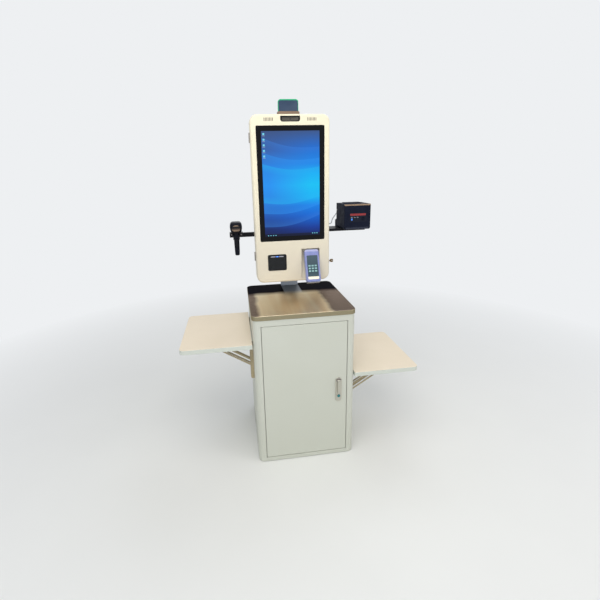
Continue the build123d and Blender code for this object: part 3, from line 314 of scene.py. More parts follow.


# Where the worktop's painted reflections and painted shade change its tone, and by how much the
# boundaries wander.
worktop = {
    "middle": -40 * mm, "headReflectionHalf": (166 * mm, 190 * mm), "rear": (50 * mm, 110 * mm),
    "postReflectionHalf": (47 * mm, 53 * mm), "wander": 0.03, "bandSize": 45 * mm, "topFace": 0.7,
}


def worktopSteel():
    # brushed from side to side, and browner at both ends; on top, a straw painted reflection of the
    # cream head in the middle, and dark painted shade where the head overhangs it at the rear
    material, shader, place = newMaterial(
        "brushedStainlessTop", "#d9c4a1", 0.38, 0.94,
        **{"Anisotropic": 0.4, "Specular Tint": hexColour("#96928a")},
    )
    lines = grain(material, place, 0.5 * mm, 3, (0.02, 1, 1))
    patches = grain(material, place, 0.06, 4, (0.4, 1, 1))
    drift = times(material, calculate(material, "SUBTRACT", patches, 0.5), worktop["wander"])
    axes = axesOf(material, place)
    across = calculate(material, "ADD", axes["X"], drift)
    aside = calculate(material, "ABSOLUTE", calculate(material, "ADD", across, -worktop["middle"]), 0)
    bands = grain(material, place, worktop["bandSize"], 1, (1, 0.08, 1))
    # straw painted reflection of the cream head across the middle
    headReflection = shadeBy(material, bands, "#fff3d6", "#eed6b2")
    ends = shadeBy(material, lines, "#a8998f", "#6f625a")
    toned = mixColours(material, spread(material, aside, 0, 1, *worktop["headReflectionHalf"]), headReflection, ends)
    rear = calculate(material, "ADD", axes["Y"], drift)
    # a pale painted reflection of the post at its foot, inside the painted shade
    beside = calculate(material, "ABSOLUTE", axes["X"], 0)
    foot = spread(material, beside, 0, 1, *worktop["postReflectionHalf"])
    # dark painted shade at the rear, pale where the post's painted reflection lies
    dark = mixColours(material, foot, "#9aa0a8", "#11162a")
    shaded = mixColours(material, spread(material, rear, 0, 1, *worktop["rear"]), toned, dark)
    scratched = mixColours(material, spread(material, lines, 0, 0.12), shaded, "#5c4f42")
    # the side edges keep a plain steel tone; only the top faces carry the painted reflections and
    # shade
    edge = shadeBy(material, lines, "#a59c80", "#8f866c")
    flat = calculate(material, "GREATER_THAN", facing(material)["Z"], worktop["topFace"])
    paint(material, shader, mixColours(material, flat, edge, scratched))
    roughen(material, shader, lines, 0.30, 0.46)
    surface(material, shader, lines, 0.10, 0.05 * mm, 1.0 * mm)
    return material


def platedSteel(name, colour, roughness):
    # bright zinc or nickel plate: nearly a mirror, clouded by handling
    material, shader, place = newMaterial(name, colour, roughness, 1.0)
    cloud = grain(material, place, 4 * mm, 4)
    roughen(material, shader, cloud, roughness - 0.06, roughness + 0.12)
    surface(material, shader, grain(material, place, 0.7 * mm), 0.05, 0.05 * mm, 0.4 * mm)
    return material


def laminateBoard():
    # melamine faced board: a matt cream face with a faint pressed grain; painted light makes the
    # upright faces a cooler, greener grey than the warm lit tops
    colours = {"face": "#e5d9c5", "shade": "#e1d5c0", "edge": "#c9cfc6"}
    material, shader, place = newMaterial("melamineBoard", colours["face"], 0.5)
    fibres = grain(material, place, 3 * mm, 4, (1, 0.12, 1))
    cloud = grain(material, place, 0.15, 3)
    face = shadeBy(material, cloud, colours["face"], colours["shade"])
    # painted light: faces that are not flat get the cooler edge colour
    level = calculate(material, "ABSOLUTE", facing(material)["Z"], 0)
    flat = calculate(material, "GREATER_THAN", level, 0.8)
    paint(material, shader, mixColours(material, flat, colours["edge"], face))
    roughen(material, shader, fibres, 0.44, 0.56)
    surface(material, shader, fibres, 0.08, 0.06 * mm, 1.0 * mm)
    return material


def kraftBoard():
    # raw chipboard: pressed flakes a few millimetres long
    material, shader, place = newMaterial("chipboard", "#a98457", 0.8)
    cells = addNode(
        material, "ShaderNodeTexVoronoi", values={"Scale": 1 / (5 * mm)}, links={"Vector": place},
    )
    toned = mixColours(material, cells.outputs["Distance"], "#b99466", "#7d5d3a")
    paint(material, shader, toned)
    surface(material, shader, cells.outputs["Distance"], 0.3, 0.3 * mm, 0.8 * mm)
    return material


def siliconeSleeve():
    # cast silicone: satin, slightly translucent, with a soft sheen
    material, shader, place = newMaterial(
        "siliconeRubber", "#858fc8", 0.42,
        **{"Subsurface Weight": 0.08, "Subsurface Scale": 0.004, "Sheen Weight": 0.15},
    )
    cloud = grain(material, place, 0.02, 3)
    toned = shadeBy(material, cloud, "#7884bd", "#868ec4")
    # the sleeve is painted paler along its top
    low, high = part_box("terminal_case")
    paleTop = low.z + 0.93 * (high.z - low.z)
    toned = mixColours(material, byHeight(material, place, paleTop, paleTop + 4 * mm), "#a9aed6", toned)
    paint(material, shader, toned)
    roughen(material, shader, cloud, 0.36, 0.5)
    surface(material, shader, grain(material, place, 0.8 * mm), 0.08, 0.1 * mm, 1.2 * mm)
    return material


def blackRubber():
    # vulcanised rubber: dull, with dust in its pores
    colour = "#17181a"
    material, shader, place = newMaterial("blackRubber", colour, 0.75)
    pores = grain(material, place, 1.5 * mm, 5)
    link(material, mixColours(material, spread(material, pores, 0, 0.25), colour, "#55554f"),
         shader, "Base Color")
    surface(material, shader, pores, 0.2, 0.2 * mm, 0.6 * mm)
    return material


def cableJacket():
    # PVC cable: pale grey, satin, with the faint lay of the cores under it
    material, shader, place = newMaterial("pvcCable", "#aab2b6", 0.4)
    cores = grain(material, place, 3 * mm, 2)
    paint(material, shader, mixColours(material, cores, "#b4bbbe", "#949ca1"))
    surface(material, shader, cores, 0.1, 0.1 * mm)
    return material


def circuitBoard():
    # glass fibre board under green lacquer: copper tracks show paler through it
    material, shader, place = newMaterial("lacqueredBoard", "#14512f", 0.3)
    tracks = addNode(
        material, "ShaderNodeTexBrick",
        values={"Scale": 1 / 0.03, "Color1": hexColour("#14512f"), "Color2": hexColour("#1b6238"),
                "Mortar": hexColour("#3f9460"), "Mortar Size": 0.03},
        links={"Vector": addNode(
            material, "ShaderNodeMapping", values={"Rotation": (math.pi / 2, 0, 0)},
            links={"Vector": place}).outputs[0]},
    )
    link(material, tracks.outputs["Color"], shader, "Base Color")
    surface(material, shader, tracks.outputs["Fac"], 0.2, 0.1 * mm)
    return material


def thermalPaper():
    # thermal paper wound in layers: smooth outside, fine rings on the ends
    material, shader, place = newMaterial("thermalPaper", "#f1f0ea", 0.6)
    middle = [(a + b) / 2 for a, b in zip(*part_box("paper_roll"))]
    centred = centreOn(material, place, middle)
    rings = addNode(
        material, "ShaderNodeTexWave",
        settings={"wave_type": "RINGS", "rings_direction": "X"},
        values={"Scale": 1 / (2.5 * mm), "Distortion": 0.2},
        links={"Vector": centred},
    )
    paint(material, shader, mixColours(material, rings.outputs["Fac"], "#f4f3ee", "#dcdad2"))
    surface(material, shader, rings.outputs["Fac"], 0.1, 0.05 * mm)
    return material


def greenAcrylic():
    # edge lit acrylic: it glows green where the lamp inside reaches it
    material, shader, place = newMaterial(
        "edgeLitAcrylic", "#0f9e6e", 0.25,
        **{"Emission Color": hexColour("#0cae72"), "Emission Strength": 0.22},
    )
    glow = grain(material, place, 0.02, 2)
    paint(material, shader, mixColours(material, glow, "#0d8a5f", "#17ad79"))
    surface(material, shader, glow, 0.03, 0.1 * mm, 0.6 * mm)
    return material


def paintedReflectionWindow():
    # smoked window of the hand scanner: black at its middle, with bronze painted reflections above
    # and below
    material, shader, place = newMaterial(
        "smokedAcrylicPaintedReflections", "#0c0c10", 0.2, **{"Specular IOR Level": 0.15},
    )
    low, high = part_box("scanner_window")
    share = spread(material, axesOf(material, place)["Z"], 0, 1, low.z, high.z)
    # the bronze stops are painted reflections on the glossy window
    shown = ramp(material, share, (
        (0.0, "#332a26"), (0.2, "#7d6a57"), (0.42, "#4a3f39"), (0.55, "#0b0b10"),
        (0.78, "#0b0b10"), (0.9, "#9c8770"), (1.0, "#6b5b4d"),
    ), "EASE")
    paint(material, shader, shown)
    surface(material, shader, grain(material, place, 0.03), 0.03, 0.1 * mm, 0.4 * mm)
    return material


def tintedWindow():
    # smoked acrylic over the reader: dark, and clear enough to show that there is depth behind it
    material, shader, place = newMaterial(
        "smokedAcrylic", "#2c3034", 0.05,
        **{"Transmission Weight": 0.8, "IOR": 1.35},
    )
    depth = grain(material, place, 0.04, 2)
    paint(material, shader, mixColours(material, depth, "#2a2e33", "#3a3f44"))
    surface(material, shader, depth, 0.02, 0.1 * mm, 0.5 * mm)
    return material


# What the touch screen shows: a plain blue wallpaper of soft curved bands, with generic tiles.
# A row of tiles gives its first place, pitch, count, size, line and height, as shares of it.
screen = {
    "borderX": 26 * mm,
    "borderZ": 25.5 * mm,
    "middle": 0.52,
    "foot": 0.026,
    "brightness": 0.92,
    "bandEdges": (0.15, 0.235, 0.345),
    "bandLifts": ("#1fcaff", "#2f9dff", "#3c86e6"),
    "column": (0.765, 0.050, 5, 0.017, 0.038, 0.032),
    "labels": (0.755, 0.050, 5, 0.005, 0.038, 0.045),
    "footRows": ((0.05, 0.045, 4, 0.018, 0.012, 0.007), (0.86, 0.040, 3, 0.018, 0.020, 0.008)),
}


def ramp(material, value, stops, kind="EASE"):
    node = addNode(material, "ShaderNodeValToRGB", links={"Fac": value})
    node.color_ramp.interpolation = kind
    elements = node.color_ramp.elements
    while len(elements) < len(stops):
        elements.new(0.5)
    for element, (at, colour) in zip(elements, stops):
        element.position = at
        element.color = hexColour(colour)
    return node.outputs["Color"]


def inside(material, value, low, high):
    above = calculate(material, "GREATER_THAN", value, low)
    below = calculate(material, "LESS_THAN", value, high)
    return times(material, above, below)


def tileRow(material, along, across, first, pitch, count, size, line, height):
    # `count` small tiles, `size` long at every `pitch`, in a row `height` wide about `line`
    steps = calculate(material, "DIVIDE", calculate(material, "SUBTRACT", along, first), pitch)
    onTile = calculate(material, "LESS_THAN", calculate(material, "FRACT", steps, 0), size / pitch)
    inRow = times(material, onTile, inside(material, steps, 0, count))
    inLine = inside(material, across, line - height / 2, line + height / 2)
    return times(material, inRow, inLine)


def touchScreen():
    # chemically strengthened glass, black printed behind its border, over a lit display
    material, shader, place = newMaterial(
        "printedGlass", "#08080a", 0.06, **{"Specular IOR Level": 0.16, "IOR": 1.5},
    )
    low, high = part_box("touch_glass")
    wide = high.x - low.x - 2 * screen["borderX"]
    tall = high.z - low.z - 2 * screen["borderZ"]
    left, bottom = low.x + screen["borderX"], low.z + screen["borderZ"]
    unit = addNode(
        material, "ShaderNodeMapping",
        values={"Location": (-left / wide, 0, -bottom / tall), "Scale": (1 / wide, 1, 1 / tall)},
        links={"Vector": place},
    )
    axes = axesOf(material, unit.outputs[0])
    u, v = axes["X"], axes["Z"]
    lit = times(material, inside(material, u, 0, 1), inside(material, v, 0, 1))
    front = calculate(material, "LESS_THAN", facing(material)["Y"], -0.5)
    lit = times(material, lit, front)

    # the bands open out from the right edge, bent by a slow wave
    wave = calculate(material, "SINE", times(material, u, 3.4), 0)
    bent = times(material, wave, -0.035)
    middle = calculate(material, "ADD", bent, screen["middle"])
    off = calculate(material, "SUBTRACT", v, middle)
    reach = calculate(material, "ADD", times(material, u, -0.28), 1.22)
    band = calculate(material, "DIVIDE", calculate(material, "ABSOLUTE", off, 0), reach)
    across = ramp(material, v, (
        (0.0, "#142150"), (0.07, "#152a68"), (0.2, "#1d56b4"), (0.34, "#2484e6"),
        (0.5, "#2494fb"), (0.68, "#2486ea"), (0.82, "#3766b4"), (1.0, "#3d5688"),
    ), "LINEAR")
    right = ramp(material, v, (
        (0.0, "#12225a"), (0.08, "#123c9c"), (0.2, "#0868d8"), (0.30, "#0684ee"),
        (0.38, "#00bcff"), (0.5, "#00ccff"), (0.61, "#00b8ff"), (0.70, "#128cf0"),
        (0.84, "#1b72d8"), (1.0, "#3d5a90"),
    ), "LINEAR")
    picture = mixColours(material, spread(material, u, 0, 1, 0.1, 0.85), across, right)
    for edge, lift in zip(screen["bandEdges"], screen["bandLifts"]):
        within = calculate(material, "LESS_THAN", band, edge)
        rising = spread(material, band, 0.05, 0.36, edge - 0.06, edge)
        brighter = times(material, within, rising)
        picture = mixColours(material, brighter, picture, lift)
    tiles = tileRow(material, v, u, *screen["column"])
    for row in screen["footRows"]:
        tiles = calculate(material, "MAXIMUM", tiles, tileRow(material, u, v, *row))
    labels = tileRow(material, v, u, *screen["labels"])
    faint = times(material, labels, 0.45)
    picture = mixColours(material, faint, picture, "#cfdcec")
    picture = mixColours(material, tiles, picture, "#7fe0f6")
    # the backlight is a little uneven, and the strip along the foot is dark
    strip = calculate(material, "LESS_THAN", v, screen["foot"])
    strip = times(material, strip, calculate(material, "SUBTRACT", 1, tiles))
    picture = mixColours(material, times(material, strip, 0.75), picture, "#0d1120")
    shown = mixColours(material, lit, "#000000", picture)
    link(material, shown, shader, "Emission Color")
    shader.inputs["Emission Strength"].default_value = screen["brightness"]
    smear = grain(material, place, 0.05, 5)
    roughen(material, shader, smear, 0.03, 0.14)
    surface(material, shader, smear, 0.01, 0.1 * mm, 0.5 * mm)
    return material


# The payment terminal leans back, and its screen shows a plain keypad over a foot bar.
keypad = {
    "lean": 22, "rows": (0.345, 0.455, 0.565), "keys": (0.10, 0.285, 3, 0.20), "height": 0.062,
    "footBar": 0.115,
}


def terminalDisplay():
    # glass over a dim display: a dark teal field, three rows of pale keys and a cream foot bar
    material, shader, place = newMaterial("terminalGlass", "#22303a", 0.08, **{"IOR": 1.5})
    low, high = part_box("terminal_screen")
    lean = math.radians(keypad["lean"])
    middle = (low + high) / 2
    upward = Vector((0, math.sin(lean), math.cos(lean)))
    wide = high.x - low.x
    tall = (high.z - low.z) / math.cos(lean)
    centred = centreOn(material, place, middle)
    rise = addNode(
        material, "ShaderNodeVectorMath", settings={"operation": "DOT_PRODUCT"},
        links={0: centred},
    )
    rise.inputs[1].default_value = upward
    v = calculate(material, "ADD", calculate(material, "DIVIDE", rise.outputs["Value"], tall), 0.5)
    side = axesOf(material, centred)["X"]
    u = calculate(material, "ADD", calculate(material, "DIVIDE", side, wide), 0.5)
    keys = None
    for row in keypad["rows"]:
        line = tileRow(material, u, v, *keypad["keys"], row, keypad["height"])
        keys = line if keys is None else calculate(material, "MAXIMUM", keys, line)
    field = ramp(material, v, ((0, "#3d5560"), (0.3, "#2f434d"), (1, "#3f525d")), "LINEAR")
    shown = mixColours(material, keys, field, "#82acae")
    foot = calculate(material, "LESS_THAN", v, keypad["footBar"])
    shown = mixColours(material, foot, shown, "#f3ecda")
    paint(material, shader, shown)
    link(material, shown, shader, "Emission Color")
    shader.inputs["Emission Strength"].default_value = 0.15
    surface(material, shader, grain(material, place, 0.03), 0.01, 0.1 * mm, 0.4 * mm)
    return material


def paintNodes():
    # the cabinet and the head get painted shade towards their bottoms through foot
    coat = powderCoat(
        "powderCoatOffWhite", "#c8cbc1", "#c5c8bd", foot=("#c4c7bb", 0.1, 0.7),
    )
    inner = powderCoat("powderCoatGrey", "#b4b8b2", "#a9ada8", 0.5)
    head = powderCoat(
        "creamEnamel", "#eee7cf", "#ebe4ca", 0.38, "#f2ecdb", 0.35, ("#d9d3c3", 1.0, 1.5),
    )
    khaki = powderCoat("khakiEnamel", "#ab9e7e", "#a09374", 0.38, "#8d8370")
    silver = powderCoat("silverEnamel", "#aab4c2", "#a0aab9", 0.36, "#c2c8d0")
    satinBlack = powderCoat("satinBlackEnamel", "#0b0c11", "#111217", 0.42, "#26272c", 0.12)
    blackAbs = mouldedPlastic("texturedAbsBlack", "#0b0c11", "#101118", 0.42, 0.6, 0.25, 0.12)
    navyAbs = mouldedPlastic("texturedAbsNavy", "#151928", "#1a1f2e", 0.55, 0.6, 0.2, 0.04)
    # the lid's front bevel gets a tan painted reflection
    lidAbs = mouldedPlastic("texturedAbsNavyLid", "#151928", "#1a1f2e", 0.55, 0.6, 0.2, 0.04,
                            paintedSheen="#8f7a66")
    greyAbs = mouldedPlastic("mouldedAbsGrey", "#8d9096", "#989ba1", 0.42)
    tanAbs = mouldedPlastic("mouldedAbsTan", "#76604f", "#826b59", 0.42)
    slate = mouldedPlastic("slatePolycarbonate", "#32435c", "#394a63", 0.38, 0.6, 0.1, 0.2)
    top = worktopSteel()
    bright = platedSteel("nickelPlate", "#a39e9a", 0.28)
    dulled = platedSteel("blackenedSteel", "#6a6260", 0.36)
    satin = platedSteel("satinChrome", "#c2c0b4", 0.34)
    gloss = glossPlastic("tealEnamel", "#1d7174", 0.2)
    brass = platedSteel("brassKey", "#6f5b3c", 0.3)
    rubber = blackRubber()
    screenGlass = touchScreen()
    parts = {
        coat: ("cabinet_shell", "door_frame", "cabinet_door"),
        inner: ("cabinet_base", "inner_shelf"),
        head: ("head_cover", "head_housing", "pocket_tub"),
        khaki: (
            "shelf_rails", "shelf_arms_left", "shelf_arms_right",
            "shelf_braces_left", "shelf_braces_right", "shelf_stays_left", "shelf_stays_right",
        ),
        silver: ("post",),
        satinBlack: ("head_bracket", "cross_bar", "printer_tray", "display_frame"),
        blackAbs: (
            "mains_fittings", "camera_bar", "speakers", "scan_frame", "scan_engine",
            "scanner_holder", "scanner_body", "scanner_trigger",
        ),
        navyAbs: ("printer_body", "feed_button"),
        lidAbs: ("printer_lid",),
        greyAbs: ("terminal_holder", "print_head"),
        tanAbs: ("beacon_base",),
        slate: ("beacon_plate",),
        top: ("worktop_pan",),
        bright: ("lock_spindle", "housing_hardware", "cover_hardware"),
        dulled: ("bolts_and_pins",),
        satin: ("door_lock", "lock_lever"),
        gloss: ("lock_button",),
        brass: ("head_key",),
        rubber: ("glide_feet", "lead_gland", "lead_plug"),
        laminateBoard(): ("shelf_board_left", "shelf_board_right"),
        kraftBoard(): ("worktop_board",),
        siliconeSleeve(): ("terminal_case",),
        screenGlass: ("touch_glass",),
        glossPlastic("displayPanel", "#0b0d12"): ("display_panel",),
        paintedReflectionWindow(): ("scanner_window",),
        tintedWindow(): ("scan_glass",),
        terminalDisplay(): ("terminal_screen",),
        greenAcrylic(): ("beacon_lens",),
        circuitBoard(): ("head_electronics",),
        thermalPaper(): ("paper_roll",),
    }
    for material, names in parts.items():
        for name in names:
            nodes[name].data.materials.clear()
            nodes[name].data.materials.append(material)
    cable.data.materials.append(cableJacket())
    unpainted = [n for n in nodes if not nodes[n].data.materials]
    print("nodes painted, left over:", unpainted)


paintNodes()


# New pieces. Each starts as a primitive at its real size and place, and is then shaped.
def selectNone():
    bpy.ops.object.select_all(action="DESELECT")


def applyShape():
    bpy.ops.object.transform_apply(location=True, rotation=True, scale=True)


def startCube(name, low, high, turn=(0, 0, 0)):
    selectNone()
    bpy.ops.mesh.primitive_cube_add(
        size=1, location=[(a + b) / 2 for a, b in zip(low, high)], rotation=turn,
        scale=[b - a for a, b in zip(low, high)],
    )
    piece = bpy.context.object
    piece.name = name
    applyShape()
    return piece


def startDisc(name, centre, radius, depth, towards, sides=48):
    selectNone()
    turn = Vector((0, 0, 1)).rotation_difference(Vector(towards)).to_euler()
    bpy.ops.mesh.primitive_cylinder_add(
        vertices=sides, radius=radius, depth=depth, location=centre, rotation=turn,
    )
    piece = bpy.context.object
    piece.name = name
    applyShape()
    return piece


def openEdit(kind):
    bpy.ops.object.mode_set(mode="EDIT")
    bpy.ops.mesh.select_mode(type=kind)
    bpy.ops.mesh.select_all(action="DESELECT")


def chooseFaces(piece, towards):
    # the faces that look along `towards`
    openEdit("FACE")
    mesh = bmesh.from_edit_mesh(piece.data)
    for face in mesh.faces:
        face.select_set(face.normal.dot(Vector(towards)) > 0.95)
    bmesh.update_edit_mesh(piece.data)


def roundEdges(piece, along, radius, wanted=None, segments=6):
    # rounds the edges that run along an axis, or those of them that `wanted` picks by place
    openEdit("EDGE")
    mesh = bmesh.from_edit_mesh(piece.data)
    for edge in mesh.edges:
        first, second = edge.verts[0].co, edge.verts[1].co
        lies = abs((second - first).normalized().dot(Vector(along))) > 0.95
        edge.select_set(lies and (wanted is None or wanted((first + second) / 2)))
    bmesh.update_edit_mesh(piece.data)
    bpy.ops.mesh.bevel(offset=radius, segments=segments, affect="EDGES")
    bpy.ops.object.mode_set(mode="OBJECT")


def sinkFace(piece, towards, rim, depth):
    # an inset rim, with the face inside it pushed in by `depth`
    chooseFaces(piece, towards)
    bpy.ops.mesh.inset(thickness=rim, depth=0)
    bpy.ops.mesh.inset(thickness=min(rim, depth) / 2, depth=-depth)
    bpy.ops.object.mode_set(mode="OBJECT")


def cutAway(piece, tool):
    bpy.context.view_layer.objects.active = piece
    cut = piece.modifiers.new("cut", "BOOLEAN")
    cut.operation = "DIFFERENCE"
    cut.solver = "EXACT"
    cut.object = tool
    bpy.ops.object.modifier_apply(modifier="cut")
    bpy.data.objects.remove(tool)


def finishPiece(piece, body, material, edge=0.0, smoothAngle=35):
    selectNone()
    piece.select_set(True)
    bpy.context.view_layer.objects.active = piece
    if edge:
        bevel = piece.modifiers.new("edge", "BEVEL")
        bevel.width = edge
        bevel.segments = 3
        bevel.limit_method = "ANGLE"
        bevel.angle_limit = math.radians(40)
        bpy.ops.object.modifier_apply(modifier="edge")
    bpy.ops.object.shade_smooth_by_angle(angle=math.radians(smoothAngle))
    piece.data.materials.clear()
    piece.data.materials.append(material)
    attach(piece, body)
    return piece


ahead = (0, -1, 0)  # the way the door and the screen face

# The hand scanner: a slim grip under a shield shaped head. Each row is one level of the
# moulding: height, half width, how far it reaches forward of and behind the grip's middle.
scanner = {
    "gripBack": 46 * mm,  # from the head's rear to the grip's middle
    "levels": (
        (12, 7.5, 10, 10), (13.2, 9.6, 12.8, 12.8), (16, 11.2, 15.2, 15.2),
        (21, 12.0, 16.8, 16.8),
        (40, 12.8, 17.2, 17.2), (80, 13.6, 17.7, 17.7), (115, 14.3, 18, 18),
        (130.4, 14.8, 18, 18), (130.6, 22.5, 34, 37), (134, 25, 38, 40.5), (141, 28, 42, 44),
        (151, 30.2, 43.6, 45.6), (163, 31, 44, 46), (172, 29.8, 44, 45.6), (178, 27.4, 43, 44),
        (181.8, 24, 40, 41), (183.6, 20.5, 36.5, 37), (184, 18, 33, 33),
    ),
    "corner": 0.45,  # share of the half width that each upright corner is rounded by
    "sideClearance": 0.4 * mm,
}


def makeScanner():
    low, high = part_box("scanner_body")
    middleX = (low.x + high.x) / 2
    middleY = high.y - scanner["gripBack"]
    rows = [[value * mm for value in row] for row in scanner["levels"]]
    height, halfWidth, front, back = rows[0]
    foot = low.z + height
    selectNone()
    bpy.ops.mesh.primitive_plane_add(size=2, location=(middleX, middleY, foot))
    piece = bpy.context.object
    piece.name = "scannerShell"
    applyShape()
    bpy.ops.object.mode_set(mode="EDIT")
    bpy.ops.mesh.select_mode(type="VERT")
    bpy.ops.mesh.select_all(action="SELECT")
    bpy.ops.mesh.bevel(offset=scanner["corner"], segments=7, affect="VERTICES")
    bpy.ops.mesh.select_all(action="SELECT")
    bpy.ops.transform.resize(
        value=(halfWidth, (front + back) / 2, 1), center_override=(middleX, middleY, foot),
    )
    bpy.ops.mesh.select_mode(type="FACE")
    for lower, upper in zip(rows, rows[1:]):
        level = low.z + upper[0]
        centreY = middleY + (lower[3] - lower[2]) / 2
        bpy.ops.mesh.extrude_region_move(
            TRANSFORM_OT_translate={"value": (0, 0, upper[0] - lower[0])},
        )
        bpy.ops.transform.resize(
            value=(upper[1] / lower[1], (upper[2] + upper[3]) / (lower[2] + lower[3]), 1),
            center_override=(middleX, centreY, level),
        )
        shift = (upper[3] - upper[2]) / 2 - (lower[3] - lower[2]) / 2
        bpy.ops.transform.translate(value=(0, shift, 0))
    bpy.ops.mesh.select_all(action="SELECT")
    bpy.ops.mesh.normals_make_consistent(inside=False)
    bpy.ops.object.mode_set(mode="OBJECT")

    # the window's seat and the trigger's slot
    windowLow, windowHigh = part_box("scanner_window")
    windowMiddle = (windowLow + windowHigh) / 2
    seat = startDisc(
        "seat", (windowMiddle.x, low.y, windowMiddle.z), 0.5,
        2 * (windowHigh.y - low.y), ahead, 64,
    )
    seat.select_set(True)
    bpy.ops.transform.resize(
        value=(
            windowHigh.x - windowLow.x + scanner["sideClearance"], 1,
            windowHigh.z - windowLow.z + scanner["sideClearance"],
        ),
        center_override=(windowMiddle.x, low.y, windowMiddle.z),
    )
    applyShape()
    cutAway(piece, seat)
    triggerLow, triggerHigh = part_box("scanner_trigger")
    gap = Vector((scanner["sideClearance"],) * 3)
    travel = Vector((0, 4.5 * mm, 0))
    slotTool = startCube("slotTool", triggerLow - gap - travel, triggerHigh + gap + travel)
    cutAway(piece, slotTool)
    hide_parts("scanner_body")
    return finishPiece(piece, "hand_scanner", finishes["glossBlack"], 0, 32)


# The camera bar's grey face plate with its lens, under the head's top edge.
cameraFace = {
    "rimSide": 8 * mm, "rimTop": 7 * mm, "rimFoot": 3.5 * mm, "thickness": 0.6 * mm,
    "corner": 7 * mm, "lensRadius": 3.6 * mm,
}


def makeCameraFace():
    low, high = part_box("camera_bar")
    plate = startCube(
        "cameraPlate",
        (low.x + cameraFace["rimSide"], low.y - cameraFace["thickness"],
         low.z + cameraFace["rimFoot"]),
        (high.x - cameraFace["rimSide"], low.y + 0.2 * mm, high.z - cameraFace["rimTop"]),
    )
    middle = (low + high) / 2
    roundEdges(plate, ahead, cameraFace["corner"], lambda at: at.z < middle.z)
    roundEdges(plate, ahead, 1.5 * mm, lambda at: at.z > middle.z and abs(at.x) > 30 * mm, 3)
    sinkFace(plate, ahead, 1.2 * mm, 0.25 * mm)
    finishPiece(plate, "head_front", finishes["greyFace"], 0.15 * mm)
    lens = startDisc(
        "cameraLens",
        (middle.x, low.y - cameraFace["thickness"], middle.z - 1.5 * mm),
        cameraFace["lensRadius"], 0.8 * mm, ahead,
    )
    sinkFace(lens, ahead, 1.0 * mm, 0.5 * mm)
    finishPiece(lens, "head_front", finishes["lensGlass"], 0.15 * mm)


# Acoustic mesh that fills each slot of the speaker grilles, a little behind the cover's face.
grilleMesh = {
    "count": 7, "pitch": 7 * mm, "half": (1.35 * mm, 7.8 * mm), "behind": 0.4 * mm,
    "depth": 2.2 * mm, "canHalf": 27 * mm,
}


def makeGrilles():
    low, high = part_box("speakers")
    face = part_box("head_cover")[0].y + grilleMesh["behind"]
    middleZ = (low.z + high.z) / 2
    halfWide, halfTall = grilleMesh["half"]
    starts = [
        middle - grilleMesh["pitch"] * (grilleMesh["count"] - 1) / 2
        for middle in (low.x + grilleMesh["canHalf"], high.x - grilleMesh["canHalf"])
    ]
    first = startCube(
        "grilleMesh1", (starts[0] - halfWide, face, middleZ - halfTall),
        (starts[0] + halfWide, face + grilleMesh["depth"], middleZ + halfTall),
    )
    roundEdges(first, ahead, halfWide * 0.95, None, 4)
    sinkFace(first, ahead, 0.35 * mm, 0.2 * mm)
    finishPiece(first, "head_front", finishes["brownMesh"])
    places = [
        start + grilleMesh["pitch"] * step for start in starts for step in range(grilleMesh["count"])
    ]
    for count, place in enumerate(places[1:]):
        copy = first.copy()
        copy.data = first.data.copy()
        copy.name = f"grilleMesh{count + 2}"
        bpy.context.scene.collection.objects.link(copy)
        copy.data.transform(Matrix.Translation((place - places[0], 0, 0)))
        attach(copy, "head_front")


# The catch that lets the printer's lid go, on its left side near the front.
lidCatch = {"behind": 22 * mm, "below": 22 * mm, "half": (2.2 * mm, 9 * mm), "proud": 0.8 * mm}


def makeLidCatch():
    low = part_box("printer_body")[0]
    middleY = low.y + lidCatch["behind"]
    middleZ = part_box("printer_lid")[0].z - lidCatch["below"] / 2
    halfDeep, halfTall = lidCatch["half"]
    catch = startCube(
        "lidCatch", (low.x - lidCatch["proud"], middleY - halfDeep, middleZ - halfTall),
        (low.x + 0.2 * mm, middleY + halfDeep, middleZ + halfTall),
    )
    roundEdges(catch, (-1, 0, 0), 1.5 * mm)
    sinkFace(catch, (-1, 0, 0), 0.7 * mm, 0.3 * mm)
    finishPiece(catch, "root", finishes["glossBlack"], 0.2 * mm)


# The beacon's dark plate, standing in front of the lit one so that a thin green edge shows.
beaconFace = {"side": 2 * mm, "top": 6 * mm, "corner": 9 * mm, "rim": 2.5 * mm}


def makeBeaconFace():
    low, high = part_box("beacon_plate")
    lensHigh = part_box("beacon_lens")[1]
    plate = startCube(
        "beaconFace", (low.x, low.y, low.z), (high.x, high.y, lensHigh.z - beaconFace["top"]),
    )
    roundEdges(plate, ahead, beaconFace["corner"], lambda at: at.z > low.z + 20 * mm)
    sinkFace(plate, ahead, beaconFace["rim"], 0.3 * mm)
    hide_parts("beacon_plate")
    finishPiece(plate, "root", finishes["slateFace"], 0.3 * mm)


# The lit strip along the top of the code reader's window, blue at its middle.
scanLight = {"halfLength": 36 * mm, "height": 5 * mm, "below": 6.5 * mm, "proud": 0.4 * mm}


def makeScanLight():
    low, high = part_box("scan_glass")
    middleX = (low.x + high.x) / 2
    top = high.z - scanLight["below"] + scanLight["height"] / 2
    bar = startCube(
        "scanLightBar",
        (middleX - scanLight["halfLength"], low.y - scanLight["proud"], top - scanLight["height"]),
        (middleX + scanLight["halfLength"], low.y + 0.1 * mm, top),
    )
    roundEdges(bar, ahead, 2.2 * mm)
    finishPiece(bar, "head_front", lightBar(middleX), 0.1 * mm)


